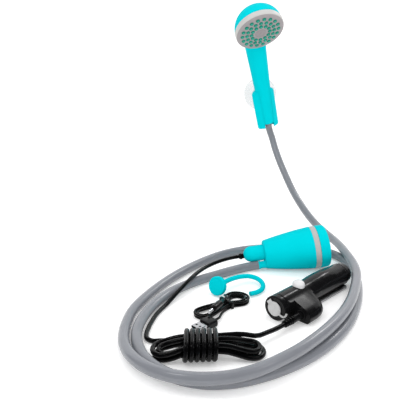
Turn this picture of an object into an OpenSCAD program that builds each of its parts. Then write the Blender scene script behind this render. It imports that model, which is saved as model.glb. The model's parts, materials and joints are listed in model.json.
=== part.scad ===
// Portable camp shower kit: pump, hose, hand shower with its holder, battery pack, hook and leads.
// Millimetres, +Z up. The kit lies on the floor at z = 0, and the cup's rim faces +Y.

/* [Pump] */
// Radius of the pump body at its narrow end
pump_rear_r = 19; // [18:0.5:21]
// Radius of the pump body at its wide end
pump_wide_r = 28.5; // [28:0.5:31]
// Length of the tapered pump body
pump_cone_len = 65; // [62:1:75]
// Wall of the pump body
pump_wall = 2.2; // [1.8:0.1:2.4]
// Length of the grey band
band_len = 7; // [6.5:0.5:10]
// Radial thickness of the grey band
band_thick = 2.5; // [2.2:0.1:2.8]
// Length of the strainer cap
cap_len = 13.5; // [13:0.5:18]
// Radius of the cap's rounded edge
cap_edge_r = 5; // [4:0.5:6]
// Thickness of the cap's end wall
cap_end = 2.5; // [2:0.1:3]
// Inlet slots in the cap
slot_count = 12; // [8:1:14]
// Width of an inlet slot
slot_w = 2.4; // [1.8:0.1:3]
// Radius of the cable lobe
lobe_r = 9.5; // [8.5:0.5:10]
// Length of the cable lobe
lobe_len = 29; // [26:1:32]
// Radius of the outlet nozzle
nozzle_r = 4.8; // [4.5:0.1:5]
// Length of the outlet nozzle
nozzle_len = 10; // [8:0.5:12]
// Radius of the motor
motor_r = 12; // [11:0.5:13]
// Length of the motor
motor_len = 34; // [28:1:38]
// Radius of the motor shaft
shaft_r = 1.15; // [1:0.05:1.5]
// Radius of the impeller
impeller_r = 17; // [14:0.5:20]
// Impeller blades
blade_count = 6; // [4:1:8]

/* [Hose] */
// Outer diameter of the hose
hose_d = 11.5; // [11:0.1:11.6]
// Bore of the hose
hose_bore = 8; // [7:0.5:8.5]
// Length of the barbs inside the hose
barb_len = 11; // [8:1:11]

/* [Handset] */
// Distance from the handle's end to the centre of the head
handle_len = 184.6; // [180:0.2:188]
// Radius of the handle at its hose end
handle_end_r = 10.5; // [10.2:0.1:11]
// Radius of the handle under the head
handle_top_r = 18; // [17:0.1:18.4]
// Radius of the water way in the handle
handle_bore_r = 8; // [7:0.5:8]
// Radius of the head at its ring
head_r = 38.5; // [37:0.5:41]
// Depth of the dome behind the ring
dome_depth = 34; // [33:1:38]
// Distance from the head's centre to the back of the ring
head_reach = 19.5; // [18:0.5:22]
// How far the head's centre stands ahead of the handle's axis
head_ahead = 22; // [21:0.5:25]
// Length of the ring
ring_len = 9; // [8.5:0.5:12]
// Radial thickness of the ring
ring_wall = 3.5; // [3.2:0.1:4]
// Wall of the dome
dome_wall = 2.5; // [2.4:0.1:3]
// Angle of the face below square to the handle
head_tilt = 42; // [40:1:45]
// Crown of the spray plate
plate_crown = 2.5; // [1.5:0.1:3]
// Radius of a nozzle nub
nub_r = 2.7; // [2.2:0.1:2.8]
// Height of a nub above the plate
nub_proud = 1.2; // [0.6:0.1:2]
// Radius of the plain centre cap
centre_r = 9; // [7:0.5:10]

/* [Holder] */
// Length of the holder clip
clip_len = 69; // [62:1:74]
// How far the clip reaches below the handle
clip_below = 7; // [5:1:9]
// Outer radius of the clip
clip_r = 20; // [19:0.5:22]
// Width of the clip's front gap
clip_gap = 17; // [14:0.5:20]
// Radius of the clip's rounded top
clip_round = 8; // [5:0.5:8]
// Distance from the handle's axis to the tilt pin
arm_reach = 29; // [28:0.5:33]
// Radius of the tilt pin
pin_r = 2; // [1.6:0.1:2.4]
// Radius of the suction cup
cup_r = 29.5; // [26:0.5:34]
// Distance from the tilt pin to the cup's rim
cup_reach = 24; // [23:0.5:28]

/* [Battery pack] */
// Radius of the pack
pack_r = 14; // [13.8:0.1:15]
// Length of the pack
pack_len = 140; // [138:1:144]
// Wall of the pack's shell
pack_wall = 2; // [1.8:0.1:2.1]
// Length of the front bezel
bezel_len = 7; // [6:0.5:8]
// Length of the tail cap
tail_len = 12; // [11:0.5:12]
// Radius of the push button
button_r = 7; // [6:0.1:7.2]
// Travel of the push button
button_travel = 1; // [0.6:0.1:1]
// Distance of the button from the front
button_at = 42.5; // [41:0.5:50]
// Radius of the port cover
cover_r = 8.8; // [8:0.1:9.2]
// Length of the side boss along the pack
boss_len = 30; // [28:1:34]
// Distance of the side boss from the front
boss_at = 17; // [16:1:20]
// Reach of the side boss from the pack's axis
boss_reach = 35; // [34:1:38]
// Height of the side boss
boss_height = 20; // [18:0.5:22]
// Diameter of a cell
cell_d = 18.2; // [18:0.1:18.4]

/* [Plug and lead] */
// Diameter of the power lead
cord_d = 5; // [4.6:0.1:5]
// Radius of the plug's body
plug_r = 4.6; // [4:0.1:5]
// Length of the plug's body
plug_len = 14; // [12:1:16]
// Radius of the plug's metal tip
tip_r = 2.75; // [2.5:0.05:3]
// Length of the plug's metal tip
tip_len = 10; // [8:0.5:10]
// Length of the strain relief
relief_len = 16; // [13:1:18]
// Ribs on the strain relief
rib_count = 5; // [4:1:6]

/* [Hook] */
// Radius of the hook's round base
hook_base_r = 11.5; // [10:0.5:11.5]
// Thickness of the hook's round base
hook_base_len = 5; // [4:0.5:6]
// Radius of the hook's rod
hook_rod_r = 2.9; // [2.6:0.1:3.2]

/* [Charging lead] */
// Diameter of the charging lead
lead_d = 2.8; // [2.4:0.1:2.8]
// Width of the USB plug's body
usb_body_w = 15; // [14:0.5:16]
// Length of the USB plug's body
usb_body_len = 16; // [14:0.5:18]
// Length of the USB plug's metal shell
usb_shell_len = 12; // [11:0.5:13]
// Radius of the barrel plug's body
barrel_r = 4; // [3.5:0.1:4.2]
// Length of the barrel plug's body
barrel_len = 22; // [18:1:24]
// Radius of the barrel plug's tip
barrel_tip_r = 1.75; // [1.6:0.05:2]
// Length of the barrel plug's tip
barrel_tip_len = 9; // [7:0.5:10]

/* [Hidden] */
$fn = 48;

cyan = [0.0, 0.75, 0.79];
pale_grey = [0.78, 0.77, 0.76];
mid_grey = [0.55, 0.53, 0.53];
hose_grey = [0.5, 0.52, 0.55];
teal = [0.0, 0.45, 0.36];
steel = [0.75, 0.76, 0.78];
soft_black = [0.07, 0.07, 0.08];
clear_white = [0.93, 0.94, 0.94];

// Clearances
eps = 0.01;
slip = 0.05;
turn_slip = 0.1;
loose = 0.3;

// Moves the kit so that its box without the leads stands centred on the origin
kit_shift = [5.3, -2.9, 0];

// Where the pieces stand on the floor
pump_place = [50.3, -69, 0];
pump_turn = 2;
pump_pitch = atan((pump_wide_r - pump_rear_r) / pump_cone_len);
handset_place = [17, 193, 166];
lean_forward = 12;
lean_side = 12.8;
handset_twist = 4.5;
pack_place = [-24, -216.5, pack_r];
pack_turn = 44;

// Pump
spigot_r = pump_wide_r - band_thick;
spigot_in = spigot_r - pump_wall;
cap_grip = 6;
spigot_len = band_len + cap_grip;
cap_start = pump_cone_len + band_len + loose;
cap_stop = pump_cone_len + band_len + cap_len;
lobe_rise = 2.4;
nozzle_y = -10.2;
nozzle_z = -9.8;
nozzle_bore = 2.5;
barb_r = hose_bore / 2 - turn_slip;
gland_r = 3.5;
gland_out = 5;
plate_start = pump_cone_len + 1;
plate_len = 4;
plate_stop = plate_start + plate_len;
screw_circle = spigot_in - 3.8;
screw_r = 1.25;
screw_head_r = 2.4;
boss_r = 4.6;
seal_r = 0.9;
shaft_seal_r = 4;
impeller_start = plate_stop + 1;
impeller_web = 1.6;
blade_len = 6;
hub_r = 4;
lead_r = 1.8;
screen_len = 2;

// Handset
handle_cone_len = 150;
neck_drop = 20;
head_side = 2.7;
dome_r = head_r - 0.5;
ring_in = head_r - ring_wall;
ring_stop = head_reach + ring_len;
post_r = 4;
plate_lip = 1;
plate_r = head_r - 0.8;
backing_len = 2;
backing_start = head_reach + 0.5;
mat_start = backing_start + backing_len;
mat_len = 2;
plate_back = mat_start + mat_len;
nub_rings = [[0.77, 18], [0.58, 16], [0.39, 12]];
centre_depth = 1.5;
plate_screw_r = 1.5;
plate_screw_head_r = 3;
collar_len = 16;

// Holder
clip_top = clip_len - clip_below;
lip_back = 7;
arm_at = 45;
arm_w = 10;
arm_height = 16;
knuckle_r = 6;
ear_len = 3;
stud_len = 3.5;
stud_start = cup_reach - 15.5;
stud_r = 11;
peg_r = 4;
peg_len = 2.5;
rim_w = 3.5;

// Battery pack
pack_bore = pack_r - pack_wall;
sleeve_len = 3;
sleeve_wall = 0.8;
tail_start = pack_len - tail_len;
plate_r_pack = pack_bore - sleeve_wall - slip;
front_plate_len = 3;
jack_len = 4.5;
cell_drop = -1.8;
contact_len = 0.7;
contact_r = 5;
cell_play = 1.2;
cell_start = front_plate_len + 0.2 + jack_len + contact_len + 2 * turn_slip;
tail_floor = tail_start + tail_len / 3;
// Two cells end to end fill the pack up to the floor of the tail cap
cell_len = (tail_floor - contact_len - cell_play - cell_start - turn_slip) / 2;
board_len = 60;
board_thick = 1.2;
board_w = 13;
board_z = cell_drop + cell_d / 2 + loose;
switch_len = 9;
switch_w = 8;
switch_height = 2.3;
switch_top = board_z + board_thick + switch_height;
button_bottom = switch_top + button_travel + loose;
button_rim = pack_r + 0.8;
button_crown = 5;
spring_r = 2.8;
spring_wall = 0.8;
cover_thick = 1.5;
cover_gap = 0.3;
cover_hinge = 10.4;
cover_hinge_angle = 45;
cover_knuckle_len = 6;
cover_knuckle_r = cover_thick / 2;
tab_r = 6.2;
tab_w = 1.8;
tab_y = -11;
tab_z = 0;
plug_y = -22;
plug_z = -5.5;
boss_z = -3.4;
plug_front = boss_at - plug_len;
relief_end = plug_front - relief_len;
relief_neck = cord_d / 2 + 0.6;
boss_wall = 2.2;
socket_r = 5;
clip_strip_w = 6;
clip_strip_thick = 1.2;
clip_strip_y = -13;
clip_strip_lift = 0.4;
clip_foot_len = 9;
clip_strip_start = boss_at + boss_len + clip_strip_w;
clip_strip_stop = tail_start - 2;

function unit(v) = v / norm(v);
function turn_x(v, a) = [v.x, v.y * cos(a) - v.z * sin(a), v.y * sin(a) + v.z * cos(a)];
function turn_y(v, a) = [v.x * cos(a) + v.z * sin(a), v.y, v.z * cos(a) - v.x * sin(a)];
function turn_z(v, a) = [v.x * cos(a) - v.y * sin(a), v.x * sin(a) + v.y * cos(a), v.z];

// Places of points that are given in a piece's own frame
function pump_at(v) =
    pump_place + turn_z(turn_y([v.x - pump_cone_len, v.y, v.z + pump_wide_r], -pump_pitch), pump_turn);
function handset_at(v) = handset_place + turn_y(turn_x(v, lean_forward), -lean_side);
function pack_at(v) = pack_place + turn_z(v, pack_turn);

module in_frame() translate(kit_shift) children();
module place_pump()
    translate(pump_place) rotate([0, 0, pump_turn]) rotate([0, -pump_pitch, 0])
        translate([-pump_cone_len, 0, pump_wide_r]) children();
module place_holder()
    translate(handset_place) rotate([0, -lean_side, 0]) rotate([lean_forward, 0, 0]) children();
module place_handset()
    place_holder() rotate([0, 0, handset_twist]) children();
module place_head()
    place_handset() translate([head_side, -head_ahead, handle_len]) rotate([90 + head_tilt, 0, 0]) children();
module place_cup()
    translate(handset_at([0, arm_reach, arm_at])) rotate([0, -lean_side, 0]) children();
module place_pack()
    translate(pack_place) rotate([0, 0, pack_turn]) children();

// A rod, a cone and a ring along X
module rod(x, len, r) translate([x, 0, 0]) rotate([0, 90, 0]) cylinder(h = len, r = r);
module cone(x, len, r1, r2) translate([x, 0, 0]) rotate([0, 90, 0]) cylinder(h = len, r1 = r1, r2 = r2);
module ring(x, len, ro, ri) difference() {
    rod(x, len, ro);
    rod(x - eps, len + 2 * eps, ri);
}
module turned_x() rotate([0, 90, 0]) rotate_extrude() children();

// A quarter arc in a profile, from angle a to angle b
function arc(c, r, a, b, steps = 6) =
    [for (i = [0:steps]) let (t = a + (b - a) * i / steps) c + r * [cos(t), sin(t)]];

// A round tube along a path, as one closed skin
function tangent(p, i) =
    i == 0 ? unit(p[1] - p[0]) :
    i == len(p) - 1 ? unit(p[i] - p[i - 1]) : unit(unit(p[i + 1] - p[i]) + unit(p[i] - p[i - 1]));
function carried(v, t) = unit(v - (v * t) * t);
function first_side(t) = carried(abs(t.z) < 0.8 ? [0, 0, 1] : [1, 0, 0], t);
function sides(p) = [
    for (i = 0, v = first_side(tangent(p, 0)); i < len(p);
         i = i + 1, v = i < len(p) ? carried(v, tangent(p, i)) : v) v
];
module tube(p, r, n) {
    s = sides(p);
    rings = len(p);
    skin = [
        for (i = [0:rings - 1]) let (b = cross(tangent(p, i), s[i]))
            for (j = [0:n - 1]) p[i] + r * (cos(360 * j / n) * s[i] + sin(360 * j / n) * b)
    ];
    walls = [
        for (i = [0:rings - 2]) for (j = [0:n - 1]) let (k = (j + 1) % n)
            each [[i * n + j, (i + 1) * n + k, i * n + k], [i * n + j, (i + 1) * n + j, (i + 1) * n + k]]
    ];
    near = [for (j = [1:n - 2]) [0, j, j + 1]];
    far = [for (j = [1:n - 2]) let (o = (rings - 1) * n) [o, o + j + 1, o + j]];
    polyhedron(points = skin, faces = concat(walls, near, far), convexity = 8);
}
// The least gap of a tube to itself, leaving out neighbours nearer than skip points
function self_gap(p, d, skip) = min([
    for (i = [0:len(p) - 1 - skip]) for (j = [i + skip:len(p) - 1]) norm(p[i] - p[j])
]) - d;

// Hose: nozzle, inner lap, behind the pump, outer lap, up onto itself along the front, and up to the handset
hose_start = pump_at([-nozzle_len, nozzle_y, nozzle_z]);
hose_lead = pump_at([-nozzle_len - hose_d, nozzle_y, nozzle_z]);
hose_low = 5.9;
hose_high = 18.2;
first_lap = [
    [-83, -109.6], [-103.2, -123.9], [-121.7, -140], [-138.2, -158.4], [-151.5, -179.4], [-161.2, -202.2],
    [-167.2, -225.8], [-169.6, -250.2], [-165.8, -275], [-156, -298.5], [-140.5, -317.2], [-121, -329.6],
    [-98.5, -335.3], [-74, -333.2], [-50.7, -325.3], [-28.9, -314], [-8.3, -300.2], [10.5, -284.2],
    [27.4, -266.4], [42.5, -246.9], [55.7, -226.1], [66.6, -204.6], [76.3, -181.8], [84.4, -158.4],
    [90.9, -134.6], [95.4, -110.4], [97.6, -85.8], [95.9, -61.4], [86.4, -38.8], [68.6, -22.2],
    [45.5, -13.3], [21, -11.1], [-3.7, -12.4]
];
second_lap = [
    [-28.2, -16.7], [-51.6, -25.4], [-72.8, -38.5], [-91.4, -55.2], [-108.3, -73.6], [-123.8, -93.1],
    [-137.9, -113.8], [-150.5, -135.3], [-161.7, -157.6], [-171.4, -180.5], [-179.1, -204.3],
    [-182.3, -229.1]
];
climbing_lap = [
    [-182.2, -254.3, 6.2], [-177.8, -278.9, 7.8], [-167.5, -302.2, 10], [-151.3, -322.4, 12.2],
    [-128.5, -337, 14], [-103.7, -343.2, 15.5], [-79, -341.6, 16.4], [-55, -332.6, 17.1], [-33, -318.7, 18],
    [-12.5, -302.2, 18.2]
];
top_lap = [
    [5.5, -284.1], [22, -265.3], [37.1, -245.4], [50.8, -224.5], [62.8, -202.5], [73, -179.4], [82, -155.8],
    [89.6, -131.7], [94, -107], [95.4, -83]
];
function at_height(points, z) = [for (p = points) [p.x, p.y, z]];
hose_points = concat(
    [[-62, -96, 6.1]], at_height(first_lap, hose_low), at_height(second_lap, hose_low),
    climbing_lap, at_height(top_lap, hose_high)
);
riser_points = [
    [95.4, -60, 18.2], [95.4, -47, 18.2], [93.5, -22, 18.2], [88.5, 4, 19.2], [81, 30, 22.5], [72, 57, 30],
    [62.5, 86, 42.5], [53, 114, 59], [43.5, 140, 81], [35, 161, 103], [28.5, 178, 123.5], [24.5, 190.5, 140]
];
handset_entry = handset_at([0, 0, 0]);
handset_lead = handset_at([0, 0, -hose_d]);
hose_coil_path = concat([hose_start, hose_lead], hose_points, [riser_points[0]]);
hose_riser_path = concat(riser_points, [handset_lead, handset_entry]);

// Power lead: run, hank and tail
cord_start = pump_at([-lobe_len - gland_out, 0, lobe_rise]);
cord_lead = pump_at([-lobe_len - gland_out - cord_d, 0, lobe_rise]);
run_points = [
    [-74.5, -84.4, 16], [-94, -102, 15.3], [-112.4, -131.8, 15], [-123.7, -153, 12], [-134, -168.5, 7],
    [-142.5, -184, 3.4], [-152, -205, 2.6], [-156.9, -224.5, 2.6], [-159.2, -239, 2.6], [-159.9, -249.5, 2.6],
    [-158, -259, 2.6]
];
hank_place = [-92.4, -284.4, 0];
hank_turn = 3.5;
function hank_at(v) = hank_place + turn_z(v, hank_turn);

// One point of a hank's loops: psi runs round the loop, q counts tracks out from the inmost one
blunt = 0.7;
function rise(x, half) = 1 / (1 + pow(abs(x) / half, 6));
function loop_point(psi, q, step, left, right, fold, waist, fold_left, fold_right, half) =
    let (c = cos(psi), s = sign(sin(psi)) * pow(abs(sin(psi)), blunt),
         x = (c > 0 ? right : left) * c * (1 + fold * (1 - c * c)) + q * step * c,
         open = 1 - rise(x, half),
         w = waist + ((c > 0 ? fold_right : fold_left) - waist) * open)
    [x, s * (w + q * step)];
// Tracks spiral in over the first half of the turns and out over the second, with half a turn between
function track(u, turns) = max(0, abs(u - turns / 2) - 0.25);
function climb(u, turns) = min(1, max(0, (u - turns / 2 + 0.25) / 0.5));

power_turns = 3;
wrap_turns = 6;
wrap_pitch = 5.5;
loop_steps = 24;
cord_step = 6.3;
cord_layer = 5.6;
wrap_start_x = -29;
wrap_shift = -6;
wrap_half_y = 17.4;
wrap_half_z = 9.6;
wrap_z = wrap_half_z + cord_d / 2 + 0.1;
wrap_start_angle = -35;
low_layer = cord_d / 2 + 0.1;
hank_half = 30;
// The loops' height, with the bundle lifted where the wraps hold it
function power_loop(u) =
    let (q = track(u, power_turns), psi = 62 - 360 * u,
         p = loop_point(psi, q, cord_step, 52, 42, 0.42, 2.8, 6.4, 7, hank_half),
         lift = (wrap_z - cord_layer / 2 - low_layer) * rise(p.x - wrap_shift, hank_half))
    [p.x, p.y, low_layer + cord_layer * climb(u, power_turns) + lift];
function rounded(v) = sign(v) * pow(abs(v), 2 / 3);
function wrap_point(t) =
    let (a = wrap_start_angle - 360 * t)
    [wrap_start_x + wrap_pitch * t, wrap_half_y * rounded(cos(a)), wrap_z + wrap_half_z * rounded(sin(a))];
hank_in = [[-53, 25, low_layer], [-48, 25, low_layer], [-40, 23, 3.2], [-34, 19, 4]];
hank_between = [[15, 15.8, 5], [19, 14, 4.6]];
hank_out = [[31, 12.5, 13.5], [38, 13.5, 12], [43, 14.5, 11]];
hank_local = concat(
    hank_in,
    [for (i = [0:wrap_turns * loop_steps]) wrap_point(i / loop_steps)],
    hank_between,
    [for (i = [1:power_turns * loop_steps - 1]) power_loop(i / loop_steps)],
    hank_out
);
hank_path = [for (v = hank_local) hank_at(v)];
relief_face = pack_at([relief_end, plug_y, plug_z]);
relief_lead = pack_at([relief_end - cord_d, plug_y, plug_z]);
tail_points = [[-37, -258, 9.5]];
run_path = concat(
    [cord_start, cord_lead], run_points, [hank_at(hank_in[0] - [cord_d, 0, 0]), hank_at(hank_in[0])]
);
tail_path = concat(
    [hank_at(hank_out[2]), hank_at(hank_out[2] + unit(hank_out[2] - hank_out[1]) * cord_d)],
    tail_points, [relief_lead, relief_face]
);

// Charging lead
lead_place = [-74.3, -183.5, 0];
lead_turn = 41;
lead_turns = 3.6;
lead_step = 4.2;
lead_layer = 3.3;
lead_low = lead_d / 2 + 0.1;
lead_half = 14;
function lead_at(v) = lead_place + turn_z(v, lead_turn);
function lead_loop(u) =
    let (q = track(u, lead_turns), psi = 70 - 360 * u,
         p = loop_point(psi, q, lead_step, 42, 25, 0.4, 1.7, 4, 8, lead_half))
    [p.x, p.y, lead_low + lead_layer * (1 - climb(u, lead_turns))];
// The wire leaves the loops for its plug just past the tie
lead_last = floor((lead_turns - 0.13) * loop_steps);
lead_local = [for (i = [0:lead_last]) lead_loop(i / loop_steps)];
lead_path = [for (v = lead_local) lead_at(v)];
lead_stub = lead_d;
usb_place = [-38, -21, 4.4];
barrel_place = [-10, -4, 11.2];
barrel_turn = 18;
start_local = [
    barrel_place, barrel_place + turn_z([lead_stub, 0, 0], barrel_turn),
    [-2, -0.5, 11.6], [2.5, 4.5, 11.2], [6, 8.3, 8.8], [8.4, 9.7, 6.2],
    lead_local[0] - unit(lead_local[1] - lead_local[0]) * lead_stub, lead_local[0]
];
end_local = [
    lead_local[lead_last],
    lead_local[lead_last] + unit(lead_local[lead_last] - lead_local[lead_last - 1]) * lead_stub,
    [-17, -11, 1.9], [-25, -16, 2.6], [-30, -19.6, 3.8], usb_place + [lead_stub, 0, 0], usb_place
];

// Hook
hook_centre = [-84, -156, 12.2];
hook_normal = unit([-0.6, -0.75, 0.28]);
hook_points = [
    [-76, -146, 12], [-65, -133, 11], [-54, -124.5, 10], [-42, -120, 8.5], [-32, -123, 6.5],
    [-27, -134, 5], [-29, -147, 4], [-36, -156, 4], [-45, -161, 4.2]
];

echo(hose_gap = self_gap(concat(hose_coil_path, hose_riser_path), hose_d, 4));
echo(power_hank_gap = self_gap(hank_local, cord_d, 8));
echo(charge_hank_gap = self_gap(lead_local, lead_d, 8));

// Pump

module pump_body() color(cyan) place_pump() difference() {
    union() {
        difference() {
            union() {
                cone(0, pump_cone_len, pump_rear_r, pump_wide_r);
                rod(pump_cone_len - eps, spigot_len, spigot_r);
            }
            cone(pump_wall, pump_cone_len - pump_wall, pump_rear_r - pump_wall, spigot_in);
            rod(pump_cone_len - eps, spigot_len + 1, spigot_in);
        }
        for (i = [0:2]) rotate([120 * i + 90, 0, 0]) translate([0, screw_circle, 0])
            rod(plate_start - 16, 16, boss_r);
        translate([0, 0, lobe_rise]) {
            rod(lobe_r - lobe_len, lobe_len - lobe_r + pump_wall, lobe_r);
            translate([lobe_r - lobe_len, 0, 0]) sphere(lobe_r);
        }
        translate([0, nozzle_y, nozzle_z]) {
            rod(-nozzle_len, nozzle_len + pump_wall, nozzle_r);
            rod(-nozzle_len - barb_len, barb_len + 1, barb_r);
        }
    }
    translate([0, 0, lobe_rise]) rod(-lobe_len - 1, lobe_len + pump_wall + 2, gland_r);
    translate([0, nozzle_y, nozzle_z])
        rod(-nozzle_len - barb_len - 1, nozzle_len + barb_len + 6, nozzle_bore);
    for (i = [0:2]) rotate([120 * i + 90, 0, 0]) translate([0, screw_circle, 0])
        rod(plate_start - 10, 11, screw_r + slip);
}

module pump_band() color(pale_grey) place_pump()
    ring(pump_cone_len, band_len, pump_wide_r, spigot_r + slip);

module strainer_cap() color(cyan) place_pump() difference() {
    turned_x() polygon(concat(
        [[0, cap_stop], [0, cap_start], [pump_wide_r, cap_start]],
        arc([pump_wide_r - cap_edge_r, cap_stop - cap_edge_r], cap_edge_r, 0, 90)
    ));
    rod(cap_start - 1, cap_grip + 1, spigot_r + turn_slip);
    rod(cap_start + cap_grip - eps, cap_stop - cap_end - cap_start - cap_grip, spigot_in - 1);
    for (i = [0:slot_count - 1]) rotate([360 * i / slot_count, 0, 0])
        translate([cap_stop - cap_end - 1, -slot_w / 2, spigot_in / 3])
            cube([cap_end + 2, slot_w, spigot_in / 2]);
}

module filter_screen() color(mid_grey) place_pump() difference() {
    rod(cap_stop - cap_end - screen_len - slip, screen_len, spigot_in - 1 - turn_slip);
    for (k = [1:3]) for (i = [0:6 * k - 1]) rotate([60 * i / k, 0, 0])
        translate([0, k * (spigot_in - 4) / 3, 0])
            rod(cap_stop - cap_end - screen_len - 1, screen_len + 2, 1.4);
}

module chamber_plate() color(mid_grey) place_pump() difference() {
    rod(plate_start, plate_len, spigot_in - slip);
    ring(
        plate_start + plate_len / 2 - seal_r - slip, 2 * (seal_r + slip),
        spigot_in + 1, spigot_in - 2 * seal_r
    );
    rod(plate_start - 1, plate_len + 2, shaft_r + turn_slip);
    rod(plate_start + 1, plate_len, shaft_seal_r);
    for (i = [0:2]) rotate([120 * i + 90, 0, 0]) translate([0, screw_circle, 0]) {
        rod(plate_start - 1, plate_len + 2, screw_r + slip);
        rod(plate_stop - 1.5, 2, screw_head_r + slip);
    }
    for (i = [0:2]) rotate([120 * i + 30, 0, 0]) translate([0, screw_circle - 5, 0])
        rod(plate_start - 1, plate_len + 2, 2);
}

module chamber_screws() color(steel) place_pump()
    for (i = [0:2]) rotate([120 * i + 90, 0, 0]) translate([0, screw_circle, 0]) {
        rod(plate_start - 8, 8 + plate_len - 1.5 + eps, screw_r);
        rod(plate_stop - 1.5, 1.5, screw_head_r);
    }

module body_seal() color(soft_black) place_pump() translate([plate_start + plate_len / 2, 0, 0])
    turned_x() translate([spigot_in - seal_r - slip, 0]) circle(seal_r - slip);

module motor_can() color(steel) place_pump() difference() {
    union() {
        rod(plate_start - motor_len, motor_len, motor_r);
        rod(plate_start - motor_len - 3, 3 + eps, motor_r / 2);
    }
    rod(plate_start - motor_len - 1, motor_len + 2, shaft_r + slip);
}

module motor_shaft() color(steel) place_pump()
    rod(plate_start - motor_len, motor_len + plate_len + 1 + impeller_web + blade_len, shaft_r);

module shaft_seal() color(soft_black) place_pump()
    ring(plate_start + 1, plate_len - 1, shaft_seal_r - slip, shaft_r + turn_slip);

module impeller() color(pale_grey) place_pump() difference() {
    union() {
        rod(impeller_start, impeller_web, impeller_r);
        rod(impeller_start, impeller_web + blade_len, hub_r);
        for (i = [0:blade_count - 1]) rotate([360 * i / blade_count, 0, 0])
            translate([impeller_start, hub_r - 1, -0.75])
                cube([impeller_web + blade_len, impeller_r - hub_r, 1.5]);
    }
    rod(impeller_start - 1, impeller_web + blade_len + 2, shaft_r + eps);
}

module motor_lead() color(soft_black) place_pump() translate([0, 0, lobe_rise])
    rod(-lobe_len + 4, plate_start - motor_len - 3 + lobe_len - 4, lead_r);

module cable_gland() color(soft_black) place_pump() translate([0, 0, lobe_rise]) {
    rod(-lobe_len - gland_out, gland_out + 4, gland_r - slip);
    rod(-lobe_len - gland_out, gland_out - 1, gland_r + 0.7);
}

// Hose

module hose_coil() color(hose_grey) difference() {
    tube(hose_coil_path, hose_d / 2, 10);
    place_pump() translate([0, nozzle_y, nozzle_z])
        rod(-nozzle_len - barb_len - 1, barb_len + 2, hose_bore / 2);
}

module hose_riser() color(hose_grey) difference() {
    tube(hose_riser_path, hose_d / 2, 10);
    place_handset() translate([0, 0, -barb_len - 1]) cylinder(h = barb_len + 2, r = hose_bore / 2);
}

// Handset

// Radius of the handle at a distance from its hose end
function handle_r(s) = handle_end_r + (handle_top_r - handle_end_r) * s / handle_cone_len;

module dome(r, depth) rotate_extrude() polygon(concat(
    [[0, head_reach]],
    [for (i = [0:14]) let (a = 90 * i / 14) [r * cos(a), head_reach - depth * sin(a)]]
));

module handset_body() color(cyan) {
    neck = handle_len - neck_drop;
    neck_r = handle_r(neck);
    difference() {
        union() {
            place_handset() cylinder(h = neck, r1 = handle_end_r, r2 = neck_r);
            place_handset() translate([0, 0, neck]) sphere(neck_r);
            place_head() dome(dome_r, dome_depth);
        }
        place_head() difference() {
            translate([0, 0, eps]) dome(dome_r - dome_wall, dome_depth - dome_wall);
            translate([0, 0, head_reach - dome_depth]) cylinder(h = dome_depth, r = post_r);
        }
        place_head() translate([0, 0, head_reach]) cylinder(h = ring_len + 20, r = head_r + loose);
        place_handset() translate([0, 0, -1]) cylinder(h = neck + 9, r = handle_bore_r);
        place_head() translate([0, 0, head_reach - 12]) cylinder(h = 13, r = plate_screw_r + slip);
    }
}

module face_ring() color(pale_grey) place_head() difference() {
    rotate_extrude() polygon(concat(
        [[ring_in, ring_stop], [ring_in, head_reach], [head_r, head_reach]],
        arc([head_r - 1.5, ring_stop - 1.5], 1.5, 0, 90, 4)
    ));
    translate([0, 0, head_reach]) rotate_extrude() translate([(ring_in + dome_r) / 2 - seal_r, -1])
        square([2 * seal_r, 1 + 2 * seal_r]);
}

module head_seal() color(soft_black) place_head() translate([0, 0, head_reach + seal_r])
    rotate_extrude() translate([(ring_in + dome_r) / 2, 0]) circle(seal_r - slip);

// Height of the spray plate's front at a radius
function plate_front(r) = ring_stop + plate_lip + plate_crown * (1 - pow(r / plate_r, 2));

module each_nub() for (k = nub_rings) for (i = [0:k[1] - 1]) let (r = k[0] * plate_r)
    rotate([0, 0, 360 * i / k[1]]) translate([r, 0, 0]) {
        $nub_top = plate_front(r);
        children();
    }

module spray_plate() color(mid_grey) place_head() difference() {
    rotate_extrude() polygon(concat(
        [[0, plate_back], [ring_in - slip, plate_back], [ring_in - slip, ring_stop], [plate_r, ring_stop]],
        [for (i = [10:-1:0]) let (r = plate_r * i / 10) [r, plate_front(r)]]
    ));
    each_nub() translate([0, 0, plate_back - 1]) cylinder(h = 2 * ring_len, r = nub_r + turn_slip, $fn = 24);
    translate([0, 0, plate_front(0) - centre_depth]) cylinder(h = 5, r = centre_r + turn_slip);
    translate([0, 0, plate_back - 1]) cylinder(h = 2 * ring_len, r = plate_screw_r + slip);
    translate([0, 0, plate_front(0) - centre_depth - 2]) cylinder(h = 5, r = plate_screw_head_r + slip);
}

module nozzle_mat() color(teal) place_head() difference() {
    union() {
        translate([0, 0, mat_start]) cylinder(h = mat_len, r = ring_in - slip);
        each_nub() translate([0, 0, mat_start])
            cylinder(h = $nub_top + nub_proud - mat_start, r = nub_r, $fn = 24);
    }
    translate([0, 0, mat_start - 1]) cylinder(h = mat_len + 2, r = plate_screw_r + slip);
}

module backing_plate() color(mid_grey) place_head() difference() {
    translate([0, 0, backing_start]) cylinder(h = backing_len, r = ring_in - slip);
    translate([0, 0, backing_start - 1]) cylinder(h = backing_len + 2, r = plate_screw_r + slip);
    for (i = [0:11]) rotate([0, 0, 30 * i]) translate([ring_in / 2, 0, backing_start - 1])
        cylinder(h = backing_len + 2, r = 2.5);
}

module plate_screw() color(steel) place_head() {
    translate([0, 0, head_reach - 10])
        cylinder(h = plate_front(0) - centre_depth - 2 - head_reach + 10 + eps, r = plate_screw_r);
    translate([0, 0, plate_front(0) - centre_depth - 2]) cylinder(h = 2, r = plate_screw_head_r);
}

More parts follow.
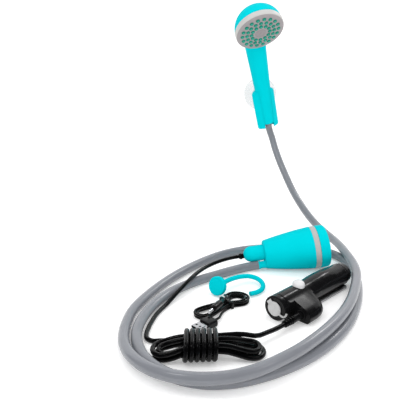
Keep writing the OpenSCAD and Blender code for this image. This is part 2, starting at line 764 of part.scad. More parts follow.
module centre_cap() color(mid_grey) place_head() {
    translate([0, 0, plate_front(0) - centre_depth]) cylinder(h = centre_depth + 0.4, r = centre_r);
    translate([0, 0, plate_front(0)]) cylinder(h = 1, r1 = 2, r2 = 1.2);
}

module handle_barb() color(mid_grey) place_handset() difference() {
    union() {
        cylinder(h = collar_len, r = handle_bore_r - slip);
        translate([0, 0, -barb_len]) cylinder(h = barb_len + 1, r = barb_r);
    }
    translate([0, 0, -barb_len - 1]) cylinder(h = barb_len + collar_len + 2, r = nozzle_bore);
}

// Holder

module holder_clip() color(cyan) place_holder() difference() {
    union() {
        difference() {
            intersection() {
                rotate_extrude() polygon(concat(
                    [[0, -clip_below]],
                    arc([clip_r - 4, 3 - clip_below], 3, -90, 0, 4),
                    arc([clip_r - clip_round, clip_top - clip_round], clip_round, 0, 90),
                    [[0, clip_top]]
                ));
                translate([0, lip_back, -clip_below - 1])
                    cylinder(h = clip_len + 2, r = norm([clip_r, lip_back]));
            }
            translate([-clip_gap / 2, -clip_r - 1, -clip_below - 1])
                cube([clip_gap, clip_r + 1, clip_len + 2]);
        }
        translate([-arm_w / 2, clip_r - 4, arm_at - arm_height / 2])
            cube([arm_w, arm_reach - clip_r, arm_height]);
        translate([-arm_w / 2, arm_reach, arm_at]) rod(0, arm_w, knuckle_r);
    }
    translate([0, 0, -clip_below - 1]) cylinder(h = clip_len + 2, r1 = handle_r(-clip_below - 1) + loose,
        r2 = handle_r(clip_top + 1) + loose);
    translate([-arm_w / 2 - 1, arm_reach, arm_at]) rod(0, arm_w + 2, pin_r + slip);
}

module cup_stud() color(clear_white) place_cup() difference() {
    union() {
        for (side = [-1, 1]) translate([side * (arm_w / 2 + loose + ear_len / 2) - ear_len / 2, 0, 0]) {
            rod(0, ear_len, knuckle_r - 0.5);
            translate([0, 0, 0.5 - knuckle_r]) cube([ear_len, stud_start + 1, 2 * knuckle_r - 1]);
        }
        translate([0, stud_start, 0]) rotate([-90, 0, 0]) cylinder(h = stud_len, r = stud_r);
        translate([0, stud_start, 0]) rotate([-90, 0, 0]) cylinder(h = stud_len + peg_len, r = peg_r);
    }
    rod(-2 * arm_w, 4 * arm_w, pin_r + slip);
}

module tilt_pin() color(steel) place_cup() {
    half = arm_w / 2 + loose + ear_len;
    rod(-half - 1, 2 * half + 2, pin_r);
    for (side = [-1, 1]) translate([side * (half + 0.6) - 0.6, 0, 0]) rod(0, 1.2, pin_r + 1);
}

module suction_cup() color(clear_white) place_cup() rotate([-90, 0, 0]) difference() {
    face = stud_start + stud_len;
    depth = cup_reach - face;
    rotate_extrude() polygon([
        [0, face], [cup_r * 0.34, face], [cup_r * 0.36, face + depth * 0.17],
        [cup_r * 0.55, cup_reach - depth * 0.68], [cup_r * 0.82, cup_reach - depth * 0.4],
        [cup_r, cup_reach - depth * 0.1], [cup_r, cup_reach],
        [cup_r - rim_w, cup_reach], [cup_r * 0.7, cup_reach - depth * 0.35],
        [cup_r * 0.4, cup_reach - depth * 0.57], [0, cup_reach - depth * 0.63]
    ]);
    translate([0, 0, face - 1]) cylinder(h = 1 + peg_len + slip, r = peg_r + slip);
}

// Power lead

module power_cord_run() color(soft_black) tube(run_path, cord_d / 2, 8);
module power_cord_hank() color(soft_black) tube(hank_path, cord_d / 2, 6);
module power_cord_tail() color(soft_black) tube(tail_path, cord_d / 2, 8);

module at_plug() place_pack() translate([0, plug_y, plug_z]) children();

module plug_relief() color(soft_black) at_plug() {
    cone(relief_end, relief_len, relief_neck, plug_r - 0.8);
    for (i = [1:rib_count]) let (x = relief_end + relief_len * (i - 0.6) / rib_count)
        ring(x, relief_len / rib_count / 2, plug_r - 1.4 + 0.25 * i, relief_neck - 0.2);
}

module dc_plug() color(soft_black) at_plug() {
    rod(plug_front, plug_len - 5, plug_r - 0.4);
    rod(plug_front + plug_len - 6, 6, plug_r);
}

module dc_plug_tip() color(steel) at_plug() rod(boss_at, tip_len, tip_r);

// Battery pack

module boss_outline(grow) {
    h = boss_height / 2 + grow;
    translate([-boss_reach + boss_height / 2, 0]) circle(h);
    translate([-boss_reach + boss_height / 2, -h]) square([boss_reach - boss_height / 2, 2 * h]);
}
module boss_block(x, len, grow) translate([x, 0, boss_z]) rotate([90, 0, 90]) linear_extrude(len)
    boss_outline(grow);

module pack_shell() color(soft_black) place_pack() difference() {
    union() {
        rod(bezel_len, tail_start - bezel_len, pack_r);
        boss_block(boss_at, boss_len, 0);
    }
    rod(bezel_len - 1, tail_start - bezel_len + 2, pack_bore);
    boss_block(boss_at + boss_wall, boss_len - 2 * boss_wall, -boss_wall);
    translate([0, plug_y, plug_z]) rod(boss_at - 1, boss_wall + 2, tip_r + loose);
    translate([button_at, 0, 0]) cylinder(h = pack_r + 1, r = button_r + loose);
}

module pack_bezel() color(soft_black) place_pack() {
    ring(0, bezel_len, pack_r, plate_r_pack + slip);
    ring(bezel_len - eps, sleeve_len, pack_bore - slip, pack_bore - sleeve_wall);
}

module front_plate() color(soft_black) place_pack() difference() {
    rod(0.2, front_plate_len, plate_r_pack);
    rod(-1, front_plate_len + 2, 3);
}

module charge_jack() color(soft_black) place_pack()
    ring(front_plate_len + 0.2, jack_len, 5, 2);

module tail_cap() color(soft_black) place_pack() difference() {
    union() {
        turned_x() polygon([
            [0, tail_start], [pack_r, tail_start], [pack_r, tail_start + 2], [pack_r - 1, tail_start + 2.6],
            [pack_r - 1, tail_start + 4], [pack_r - 1.6, pack_len - 2], [pack_r - 3.4, pack_len],
            [0, pack_len]
        ]);
        rod(tail_start - sleeve_len, sleeve_len + 1, pack_bore - slip);
    }
    rod(tail_start - sleeve_len - 1, sleeve_len + 1 + tail_floor - tail_start, pack_bore - sleeve_wall);
}

module power_button() color(pale_grey) place_pack() translate([button_at, 0, 0]) difference() {
    rotate_extrude() polygon(concat(
        [[0, button_bottom], [button_r, button_bottom], [button_r, button_rim]],
        [for (i = [4:-1:0]) let (r = button_r * i / 5)
            [r, button_rim + button_crown * (1 - pow(r / button_r, 2))]]
    ));
    translate([0, 0, button_bottom - 1]) cylinder(h = 2.2, r = spring_r + slip);
}

module button_spring() color(steel) place_pack() translate([button_at, 0, switch_top]) difference() {
    cylinder(h = button_bottom + 1.2 - switch_top, r = spring_r);
    translate([0, 0, -1]) cylinder(h = 8, r = spring_r - spring_wall);
}

module switch_block() color(mid_grey) place_pack()
    translate([button_at - switch_len / 2, -switch_w / 2, board_z + board_thick])
        cube([switch_len, switch_w, switch_height]);

module control_board() color([0.1, 0.4, 0.2]) place_pack()
    translate([button_at - board_len / 4, -board_w / 2, board_z]) cube([board_len, board_w, board_thick]);

module output_jack() color(soft_black) at_plug()
    ring(boss_at + boss_wall, tip_len, socket_r, tip_r + slip);

module battery_cells() color([0.2, 0.35, 0.6]) place_pack() translate([0, 0, cell_drop])
    for (i = [0:1]) rod(cell_start + i * (cell_len + turn_slip), cell_len, cell_d / 2);

module cell_contacts() color(steel) place_pack() translate([0, 0, cell_drop]) {
    rod(cell_start - contact_len - turn_slip / 2, contact_len, contact_r);
    rod(cell_start + 2 * cell_len + 2 * turn_slip, contact_len, contact_r);
}

module port_cover() color(pale_grey) place_pack() {
    hinge_y = cover_hinge * cos(cover_hinge_angle);
    hinge_z = cover_hinge * sin(cover_hinge_angle);
    back = -cover_gap - cover_thick;
    rod(back, cover_thick, cover_r);
    translate([back + cover_knuckle_r, hinge_y, hinge_z]) rotate([cover_hinge_angle, 0, 0])
        translate([0, 0, -cover_knuckle_len / 2]) cylinder(h = cover_knuckle_len, r = cover_knuckle_r);
    rotate([cover_hinge_angle, 0, 0]) translate([back, 0, -cover_knuckle_len / 2])
        cube([cover_thick, cover_hinge, cover_knuckle_len]);
    translate([0, tab_y, tab_z]) difference() {
        ring(back, cover_thick, tab_r, tab_r - tab_w);
        translate([back - 1, -tab_r - 1, 0]) cube([cover_thick + 2, 2 * tab_r + 2, tab_r + 1]);
    }
}

module belt_clip() color(mid_grey) place_pack() {
    low = clip_strip_lift - pack_r;
    translate([clip_strip_start, clip_strip_y, low])
        cube([clip_strip_stop - clip_strip_start, clip_strip_w, clip_strip_thick]);
    difference() {
        translate([clip_strip_stop - clip_foot_len, clip_strip_y, low])
            cube([clip_foot_len, clip_strip_w, pack_r / 3]);
        rod(clip_strip_stop - clip_foot_len - 1, clip_foot_len + 2, pack_r + slip);
    }
}

// Hook

module hook() color(cyan) {
    translate(hook_centre) rotate([0, acos(hook_normal.z), atan2(hook_normal.y, hook_normal.x)])
        translate([0, 0, -hook_base_len / 2]) cylinder(h = hook_base_len, r = hook_base_r);
    tube(concat([hook_centre], hook_points), hook_rod_r, 12);
}

// Charging lead

module place_lead() translate(lead_place) rotate([0, 0, lead_turn]) children();

module charge_lead_hank() color(soft_black) tube(lead_path, lead_d / 2, 6);
module charge_lead_start() color(soft_black) place_lead() tube(start_local, lead_d / 2, 8);
module charge_lead_end() color(soft_black) place_lead() tube(end_local, lead_d / 2, 8);

module lead_tie() color(soft_black) place_lead() {
    wide = 1.7 + track(0, lead_turns) * lead_step + lead_d / 2 + loose;
    tall = lead_low + lead_layer + lead_d / 2 + loose;
    rotate([90, 0, 90]) linear_extrude(4, center = true) difference() {
        translate([-wide - 1.2, 0]) square([2 * wide + 2.4, tall + 1.2]);
        translate([-wide, -1]) square([2 * wide, tall + 1]);
    }
}

module usb_plug_body() color(soft_black) place_lead() translate(usb_place)
    translate([-usb_body_len, -usb_body_w / 2, -4]) cube([usb_body_len, usb_body_w, 8]);

module usb_plug_shell() color(steel) place_lead() translate(usb_place) difference() {
    translate([-usb_body_len - usb_shell_len, -6, -2.25]) cube([usb_shell_len, 12, 4.5]);
    translate([-usb_body_len - usb_shell_len - 1, -5.7, -0.2]) cube([usb_shell_len, 11.4, 2.15]);
}

module place_barrel() place_lead() translate(barrel_place) rotate([0, 0, barrel_turn]) children();

module charge_plug_body() color(soft_black) place_barrel() {
    rod(-barrel_len, barrel_len - 6, barrel_r);
    cone(-6.01, 6.01, barrel_r, lead_d / 2 + 0.4);
}

module charge_plug_tip() color(steel) place_barrel()
    rod(-barrel_len - barrel_tip_len, barrel_tip_len, barrel_tip_r);

in_frame() pump_body();
in_frame() pump_band();
in_frame() strainer_cap();
in_frame() filter_screen();
in_frame() chamber_plate();
in_frame() chamber_screws();
in_frame() body_seal();
in_frame() motor_can();
in_frame() motor_shaft();
in_frame() shaft_seal();
in_frame() impeller();
in_frame() motor_lead();
in_frame() cable_gland();
in_frame() hose_coil();
in_frame() hose_riser();
in_frame() handset_body();
in_frame() face_ring();
in_frame() spray_plate();
in_frame() nozzle_mat();
in_frame() backing_plate();
in_frame() head_seal();
in_frame() centre_cap();
in_frame() plate_screw();
in_frame() handle_barb();
in_frame() holder_clip();
in_frame() cup_stud();
in_frame() tilt_pin();
in_frame() suction_cup();
in_frame() power_cord_run();
in_frame() power_cord_hank();
in_frame() power_cord_tail();
in_frame() plug_relief();
in_frame() dc_plug();
in_frame() dc_plug_tip();
in_frame() pack_shell();
in_frame() pack_bezel();
in_frame() front_plate();
in_frame() tail_cap();
in_frame() power_button();
in_frame() button_spring();
in_frame() switch_block();
in_frame() port_cover();
in_frame() charge_jack();
in_frame() output_jack();
in_frame() battery_cells();
in_frame() cell_contacts();
in_frame() control_board();
in_frame() belt_clip();
in_frame() hook();
in_frame() charge_lead_hank();
in_frame() charge_lead_start();
in_frame() charge_lead_end();
in_frame() lead_tie();
in_frame() usb_plug_body();
in_frame() usb_plug_shell();
in_frame() charge_plug_body();
in_frame() charge_plug_tip();
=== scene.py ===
import json
from math import atan, atan2, cos, pi, radians, sin, sqrt, tan

import bmesh
import bpy
from mathutils import Matrix, Vector


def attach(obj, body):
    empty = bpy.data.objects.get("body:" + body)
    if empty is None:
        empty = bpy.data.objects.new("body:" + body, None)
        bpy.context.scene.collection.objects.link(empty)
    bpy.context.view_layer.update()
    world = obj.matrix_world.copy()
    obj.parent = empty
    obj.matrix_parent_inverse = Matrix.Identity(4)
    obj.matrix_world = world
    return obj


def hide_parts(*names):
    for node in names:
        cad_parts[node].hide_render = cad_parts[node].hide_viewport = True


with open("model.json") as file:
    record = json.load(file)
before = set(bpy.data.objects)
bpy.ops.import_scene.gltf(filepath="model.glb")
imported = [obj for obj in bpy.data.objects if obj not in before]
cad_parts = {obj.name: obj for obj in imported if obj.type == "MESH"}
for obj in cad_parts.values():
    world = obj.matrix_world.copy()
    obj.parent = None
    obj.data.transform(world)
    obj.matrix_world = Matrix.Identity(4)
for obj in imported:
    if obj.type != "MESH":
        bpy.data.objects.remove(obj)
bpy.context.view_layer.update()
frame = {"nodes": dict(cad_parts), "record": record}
nodes = frame["nodes"]

MILLIMETRE = 0.001
IN_METRES = Matrix.Scale(MILLIMETRE, 4)


# Places, as the solids have them, in millimetres

def shifted(x, y, z):
    return Matrix.Translation((x, y, z))


def turned(axis, degrees):
    return Matrix.Rotation(radians(degrees), 4, axis)


KIT = IN_METRES @ shifted(5.3, -2.9, 0)

PUMP_REAR_R = 19
PUMP_WIDE_R = 28.5
PUMP_LEN = 65
PUMP_WALL = 2.2
BAND_LEN = 7
BAND_THICK = 2.5
CAP_LEN = 13.5
CAP_EDGE = 5
LOBE_R = 9.5
LOBE_LEN = 29
LOBE_RISE = 2.4
GLAND_OUT = 5
NOZZLE_R = 4.8
NOZZLE_LEN = 10
NOZZLE_Y = -10.2
NOZZLE_Z = -9.8
PUMP_PITCH = atan((PUMP_WIDE_R - PUMP_REAR_R) / PUMP_LEN) * 180 / pi
PUMP = (KIT @ shifted(50.3, -69, 0) @ turned("Z", 2) @ turned("Y", -PUMP_PITCH)
        @ shifted(-PUMP_LEN, 0, PUMP_WIDE_R))

HANDLE_LEN = 184.6
HANDLE_END_R = 10.5
HANDLE_TOP_R = 18
HANDLE_CONE = 150
NECK_DROP = 20
HEAD_R = 38.5
HEAD_REACH = 19.5
DOME_DEPTH = 34
RING_LEN = 9
RING_WALL = 3.5
LEAN_SIDE = 12.8
HOLDER = KIT @ shifted(17, 193, 166) @ turned("Y", -LEAN_SIDE) @ turned("X", 12)
HANDSET = HOLDER @ turned("Z", 4.5)
HEAD = HANDSET @ shifted(2.7, -22, HANDLE_LEN) @ turned("X", 132)

ARM_REACH = 29
ARM_AT = 45
CUP_R = 29.5
CUP_REACH = 24
CUP = Matrix.Translation(HOLDER @ Vector((0, ARM_REACH, ARM_AT))) @ IN_METRES @ turned("Y", -LEAN_SIDE)

PACK_R = 14
PACK_LEN = 140
BEZEL_LEN = 7
TAIL_LEN = 12
PLUG_Y = -22
PLUG_Z = -5.5
BOSS_AT = 17
BOSS_LEN = 30
BOSS_REACH = 35
BOSS_Z = -3.4
PLUG_LEN = 14
RELIEF_LEN = 16
RELIEF_RIBS = 4
PLUG_R = 4.6
BUTTON_AT = 42.5
BUTTON_R = 7
BUTTON_CROWN = 5
PACK = KIT @ shifted(-24, -216.5, PACK_R) @ turned("Z", 44)
PLUG = PACK @ shifted(0, PLUG_Y, PLUG_Z)

HANK = KIT @ shifted(-92.4, -284.4, 0) @ turned("Z", 3.5)
LEAD = KIT @ shifted(-74.3, -183.5, 0) @ turned("Z", 41)

HOSE_D = 11.5
CORD_D = 5
LEAD_D = 2.8
BARREL_PLACE = (-10, -4, 11.2)
BARREL_TURN = 18
USB_PLACE = (-38, -21, 4.4)


# Camera

CAMERA_FOOT = KIT @ Vector((-105, -707, 272))
CAMERA_PITCH = 15.5
camera_data = bpy.data.cameras.new("camera")
camera_data.sensor_width = 36
camera_data.lens = 45
camera_data.clip_start = 0.01
camera_data.clip_end = 50
camera = bpy.data.objects.new("camera", camera_data)
camera.location = CAMERA_FOOT
camera.rotation_euler = (radians(90 - CAMERA_PITCH), 0, 0)
bpy.context.scene.collection.objects.link(camera)
bpy.context.scene.camera = camera


# Materials

def new_material(name):
    material = bpy.data.materials.new(name)
    material.use_nodes = True
    tree = material.node_tree
    shader = tree.nodes["Principled BSDF"]
    place = tree.nodes.new("ShaderNodeTexCoord")
    return material, tree, shader, place.outputs["Object"]


def noise(tree, place, scale, detail=3.0):
    texture = tree.nodes.new("ShaderNodeTexNoise")
    texture.inputs["Scale"].default_value = scale
    texture.inputs["Detail"].default_value = detail
    tree.links.new(place, texture.inputs["Vector"])
    return texture.outputs["Fac"]


def ramp(tree, value, low, high, start=0.3, stop=0.7):
    node = tree.nodes.new("ShaderNodeValToRGB")
    node.color_ramp.elements[0].position = start
    node.color_ramp.elements[0].color = (*low, 1)
    node.color_ramp.elements[1].position = stop
    node.color_ramp.elements[1].color = (*high, 1)
    tree.links.new(value, node.inputs["Fac"])
    return node.outputs["Color"]


def spread(tree, value, low, high):
    node = tree.nodes.new("ShaderNodeMapRange")
    node.inputs["From Min"].default_value = 0.3
    node.inputs["From Max"].default_value = 0.7
    node.inputs["To Min"].default_value = low
    node.inputs["To Max"].default_value = high
    tree.links.new(value, node.inputs["Value"])
    return node.outputs["Result"]


def bump(tree, shader, value, height):
    node = tree.nodes.new("ShaderNodeBump")
    node.inputs["Distance"].default_value = height
    tree.links.new(value, node.inputs["Height"])
    tree.links.new(node.outputs["Normal"], shader.inputs["Normal"])


def shade(colour, factor):
    return tuple(min(1.0, c * factor) for c in colour)


def moulded(name, colour, roughness, vary=0.05, grain=0.00002, grain_scale=1500, shine=0.5):
    """Moulded plastic or rubber: a cloudy tint, uneven gloss and a fine grain."""
    material, tree, shader, place = new_material(name)
    cloud = noise(tree, place, 38)
    tint = ramp(tree, cloud, shade(colour, 1 - vary), shade(colour, 1 + vary))
    tree.links.new(tint, shader.inputs["Base Color"])
    gloss = spread(tree, noise(tree, place, 210), roughness * 0.93, roughness * 1.07)
    tree.links.new(gloss, shader.inputs["Roughness"])
    bump(tree, shader, noise(tree, place, grain_scale, 2.0), grain)
    shader.inputs["Specular IOR Level"].default_value = shine
    return material


def metal(name, colour, roughness):
    """Plated metal with fine drawn lines and uneven gloss."""
    material, tree, shader, place = new_material(name)
    stretch = tree.nodes.new("ShaderNodeMapping")
    stretch.inputs["Scale"].default_value = (1, 1, 14)
    tree.links.new(place, stretch.inputs["Vector"])
    lines = noise(tree, stretch.outputs["Vector"], 260, 4.0)
    tint = ramp(tree, lines, shade(colour, 0.88), colour)
    tree.links.new(tint, shader.inputs["Base Color"])
    tree.links.new(spread(tree, lines, roughness * 0.7, roughness * 1.4), shader.inputs["Roughness"])
    bump(tree, shader, lines, 0.00001)
    shader.inputs["Metallic"].default_value = 1.0
    return material


def clear(name, colour):
    """Soft clear vinyl: lets most light through, with a faint milky cloud."""
    material, tree, shader, place = new_material(name)
    cloud = noise(tree, place, 60)
    tree.links.new(ramp(tree, cloud, shade(colour, 0.95), colour), shader.inputs["Base Color"])
    tree.links.new(spread(tree, noise(tree, place, 300), 0.12, 0.25), shader.inputs["Roughness"])
    bump(tree, shader, noise(tree, place, 700), 0.00002)
    shader.inputs["Transmission Weight"].default_value = 0.8
    shader.inputs["IOR"].default_value = 1.12
    return material


CYAN = moulded("cyan_plastic", (0.0, 0.528, 0.59), 0.5, vary=0.015, shine=0.01)
PALE = moulded("pale_plastic", (0.49, 0.485, 0.475), 0.4, vary=0.03, shine=0.3)
BAND = moulded("band_plastic", (0.4, 0.395, 0.385), 0.35, vary=0.04, shine=0.4)
GREY = moulded("grey_plastic", (0.31, 0.285, 0.29), 0.45, vary=0.04, shine=0.3)
HUB = moulded("hub_plastic", (0.25, 0.225, 0.23), 0.4, vary=0.04, shine=0.4)
COVER = moulded("cover_plastic", (0.5, 0.5, 0.5), 0.35, vary=0.04)
TEAL = moulded("teal_rubber", (0.0, 0.2, 0.135), 0.45, vary=0.12, grain=0.00004, shine=0.3)
# Lighter teal for the nub tips is a painted highlight: it stands for the lit tops of the nubs
TIP_PAINTED_HIGHLIGHT = moulded("teal_tip_painted_highlight", (0.02, 0.37, 0.28), 0.5, vary=0.1, shine=0.3)
HOSE = moulded("hose_vinyl", (0.218, 0.228, 0.253), 0.22, vary=0.03, grain=0.000002, grain_scale=400)
BLACK = moulded("black_plastic", (0.006, 0.006, 0.0065), 0.2, vary=0.2, grain=0.000004, shine=0.17)
RUBBER = moulded("black_rubber", (0.002, 0.002, 0.0023), 0.24, vary=0.2, grain=0.000004, shine=0.18)
WHITE = moulded("button_plastic", (0.64, 0.64, 0.65), 0.25, vary=0.03, shine=0.5)
STEEL = metal("steel", (0.5, 0.51, 0.53), 0.2)
STRIP = metal("strip_steel", (0.42, 0.42, 0.43), 0.4)
CLEAR = clear("clear_vinyl", (0.8, 0.81, 0.815))
WRAP = moulded("cell_wrap", (0.04, 0.1, 0.3), 0.4)
BOARD = moulded("board_mask", (0.01, 0.13, 0.04), 0.45)

NODE_MATERIALS = {
    "cyan_plastic": CYAN, "pale_plastic": PALE, "grey_plastic": GREY, "steel": STEEL, "black_rubber": RUBBER,
    "hose_vinyl": HOSE, "teal_rubber": TEAL, "clear_vinyl": CLEAR, "black_plastic": BLACK, "cell_wrap": WRAP,
    "board": BOARD,
}


def paint(obj, material):
    obj.data.materials.clear()
    obj.data.materials.append(material)


for part in frame["record"]["subparts"]:
    paint(nodes[part["node"]], NODE_MATERIALS[part["material_slot"]])


# Mesh helpers

SHARP = radians(34)


def finish_mesh(name, mesh_data):
    for face in mesh_data.faces:
        face.smooth = True
    for edge in mesh_data.edges:
        edge.smooth = edge.calc_face_angle(0) < SHARP
    mesh = bpy.data.meshes.new(name)
    mesh_data.to_mesh(mesh)
    mesh_data.free()
    obj = bpy.data.objects.new(name, mesh)
    bpy.context.scene.collection.objects.link(obj)
    return obj


def filleted(corners, steps=6):
    """A profile of (along, radius, rounding) corners, each rounded."""
    out = []
    for i, (along, radius, rounding) in enumerate(corners):
        here = Vector((along, radius))
        if rounding == 0 or i in (0, len(corners) - 1):
            out.append(here)
            continue
        back = Vector(corners[i - 1][:2]) - here
        ahead = Vector(corners[i + 1][:2]) - here
        reach = min(rounding / tan(back.angle(ahead) / 2), 0.49 * back.length, 0.49 * ahead.length)
        start = here + back.normalized() * reach
        stop = here + ahead.normalized() * reach
        for k in range(steps + 1):
            t = k / steps
            out.append((1 - t) ** 2 * start + 2 * t * (1 - t) * here + t * t * stop)
    return out


def lathe_into(target, profile, matrix, axis="X", around=96, closed=False, start=0.0, stop=360.0, limit=None):
    """Turns a profile of (along, radius) points about an axis and adds it to a bmesh.

    A limit gives the greatest radius at an angle and a place along."""
    whole = abs(stop - start - 360) < 1e-6
    count = around if whole else around + 1
    rows = []
    for along, radius in profile:
        row = []
        for k in range(count if radius > 1e-6 else 1):
            a = radians(start + (stop - start) * k / around)
            r = min(radius, limit(a, along)) if limit else radius
            if axis == "X":
                point = Vector((along, r * cos(a), r * sin(a)))
            else:
                point = Vector((r * cos(a), r * sin(a), along))
            row.append(target.verts.new(matrix @ point))
        rows.append(row)
    pairs = list(zip(rows[:-1], rows[1:]))
    if closed:
        pairs.append((rows[-1], rows[0]))
    for a, b in pairs:
        for k in range(around):
            j = (k + 1) % count
            if len(a) == 1 and len(b) == 1:
                continue
            if len(a) == 1:
                target.faces.new((a[0], b[j], b[k]))
            elif len(b) == 1:
                target.faces.new((a[k], a[j], b[0]))
            else:
                target.faces.new((a[k], a[j], b[j], b[k]))
    if closed and not whole:
        target.faces.new([row[0] for row in rows])
        target.faces.new([row[-1] for row in reversed(rows)])


def rod_profile(start, stop, radius):
    """The profile of a plain rod."""
    return [(start, 0), (start, radius), (stop, radius), (stop, 0)]


def lathe(name, profile, matrix, **options):
    data = bmesh.new()
    lathe_into(data, profile, matrix, **options)
    bmesh.ops.recalc_face_normals(data, faces=data.faces)
    return finish_mesh(name, data)


def box_into(target, low, high, matrix, rounding=0.0, steps=3):
    """A box between two corners, with rounded edges."""
    data = bmesh.new()
    bmesh.ops.create_cube(data, size=1)
    low, high = Vector(low), Vector(high)
    size = high - low
    for vert in data.verts:
        vert.co = Vector((vert.co[k] * size[k] for k in range(3))) + (low + high) / 2
    if rounding:
        bmesh.ops.bevel(data, geom=data.edges[:], offset=rounding, segments=steps, profile=0.5,
                        affect="EDGES")
    copy_into(target, data, matrix)


def copy_into(target, data, matrix):
    made = {vert: target.verts.new(matrix @ vert.co) for vert in data.verts}
    for face in data.faces:
        target.faces.new([made[vert] for vert in face.verts])
    data.free()


def box(name, low, high, matrix, rounding=0.0, steps=3):
    data = bmesh.new()
    box_into(data, low, high, matrix, rounding, steps)
    bmesh.ops.recalc_face_normals(data, faces=data.faces)
    return finish_mesh(name, data)


def apply_modifiers(obj):
    bpy.context.view_layer.update()
    made = bpy.data.meshes.new_from_object(obj.evaluated_get(bpy.context.evaluated_depsgraph_get()))
    old = obj.data
    obj.modifiers.clear()
    obj.data = made
    bpy.data.meshes.remove(old)
    reshaded = bmesh.new()
    reshaded.from_mesh(obj.data)
    for face in reshaded.faces:
        face.smooth = True
    for edge in reshaded.edges:
        edge.smooth = edge.calc_face_angle(0) < SHARP
    reshaded.to_mesh(obj.data)
    reshaded.free()


def cut(obj, *cutters):
    """Takes the cutters' shapes out of a piece and deletes them."""
    for cutter in cutters:
        modifier = obj.modifiers.new("cut", "BOOLEAN")
        modifier.operation = "DIFFERENCE"
        modifier.solver = "EXACT"
        modifier.object = cutter
        apply_modifiers(obj)
        bpy.data.objects.remove(cutter)


def melted(obj, voxel, rounds, soft=None):
    """Joins a piece's overlapping shells into one skin with soft fillets where they meet.

    With a test of points, only what passes it is softened."""
    remesh = obj.modifiers.new("join", "REMESH")
    remesh.mode = "VOXEL"
    remesh.voxel_size = voxel * MILLIMETRE
    apply_modifiers(obj)
    soften = obj.modifiers.new("soften", "SMOOTH")
    soften.iterations = rounds
    soften.factor = 0.5
    if soft:
        group = obj.vertex_groups.new(name="soft")
        group.add([vert.index for vert in obj.data.vertices if soft(vert.co)], 1.0, "REPLACE")
        soften.vertex_group = "soft"
    apply_modifiers(obj)


def smooth_path(points, per_span):
    """A smooth line through points, with as many steps in each span as asked."""
    points = [Vector(p) for p in points]
    spans = [(b - a).length for a, b in zip(points[:-1], points[1:])]
    slopes = []
    for i, p in enumerate(points):
        if i == 0:
            slopes.append((points[1] - p) / spans[0])
        elif i == len(points) - 1:
            slopes.append((p - points[i - 1]) / spans[-1])
        else:
            before, after = spans[i - 1], spans[i]
            slopes.append(((points[i + 1] - p) / after * before + (p - points[i - 1]) / before * after)
                          / (before + after))
    line = [points[0]]
    for i, span in enumerate(spans):
        for k in range(1, per_span + 1):
            t = k / per_span
            line.append((2 * t ** 3 - 3 * t ** 2 + 1) * points[i]
                        + (t ** 3 - 2 * t ** 2 + t) * span * slopes[i]
                        + (3 * t ** 2 - 2 * t ** 3) * points[i + 1]
                        + (t ** 3 - t ** 2) * span * slopes[i + 1])
    return line


def tube(name, points, diameter, sides=8):
    """A round tube along a line of points in metres, as one open spline."""
    data = bpy.data.curves.new(name, "CURVE")
    data.dimensions = "3D"
    data.bevel_depth = diameter / 2
    data.bevel_resolution = sides
    data.use_fill_caps = True
    spline = data.splines.new("POLY")
    spline.points.add(len(points) - 1)
    for target, point in zip(spline.points, points):
        target.co = (*point, 1)
    spline.use_smooth = True
    obj = bpy.data.objects.new(name, data)
    bpy.context.scene.collection.objects.link(obj)
    return obj


def dress(obj, body, slot, material, *replaced):
    """Paints a piece, lets it ride on a body and puts it in the place of solids."""
    paint(obj, material)
    if replaced:
        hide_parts(*replaced)
    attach(obj, body)
    return obj


# Cords: the hose, the power lead and the charging lead

FLOOR_GAP = 0.1
# Share of a quarter loop's steps that goes round the fold
FOLD_PART = 0.5
# Steps in one turn of a hank
LOOP_STEPS = 24


def hank_rise(x, half):
    """How far a hank's strands are lifted by the wraps under them: 1 at the middle, 0 at the folds."""
    return 1 / (1 + (abs(x) / half) ** 6)


def loop_point(psi, q, step, left, right, waist, fold_left, fold_right):
    """One point of a hank's loops: round folds, and runs between them that draw in to the waist.

    psi runs round the loop, q counts tracks out from the inmost one."""
    c, s = cos(psi), sin(psi)
    side = 1 if c > 0 else -1
    across = 1 if s > 0 else -1
    from_tip = atan2(abs(s), abs(c)) / (pi / 2)
    reach = (right if c > 0 else left) + q * step
    radius = (fold_right if c > 0 else fold_left) + q * step
    if from_tip < FOLD_PART:
        bend = from_tip / FOLD_PART * pi / 2
        return side * (reach - radius + radius * cos(bend)), across * radius * sin(bend)
    t = (from_tip - FOLD_PART) / (1 - FOLD_PART)
    drawn_in = t * t * (3 - 2 * t)
    return side * (reach - radius) * (1 - t), across * (radius + (waist + q * step - radius) * drawn_in)


def track(u, turns):
    """Tracks out from the inmost loop, after u turns: in on the first layer and out again on the second."""
    return max(0.0, abs(u - turns / 2) - 0.25)


def climb(u, turns):
    """Share of the way from one layer to the other, which is made in half a turn at the middle."""
    return min(1.0, max(0.0, (u - turns / 2 + 0.25) / 0.5))


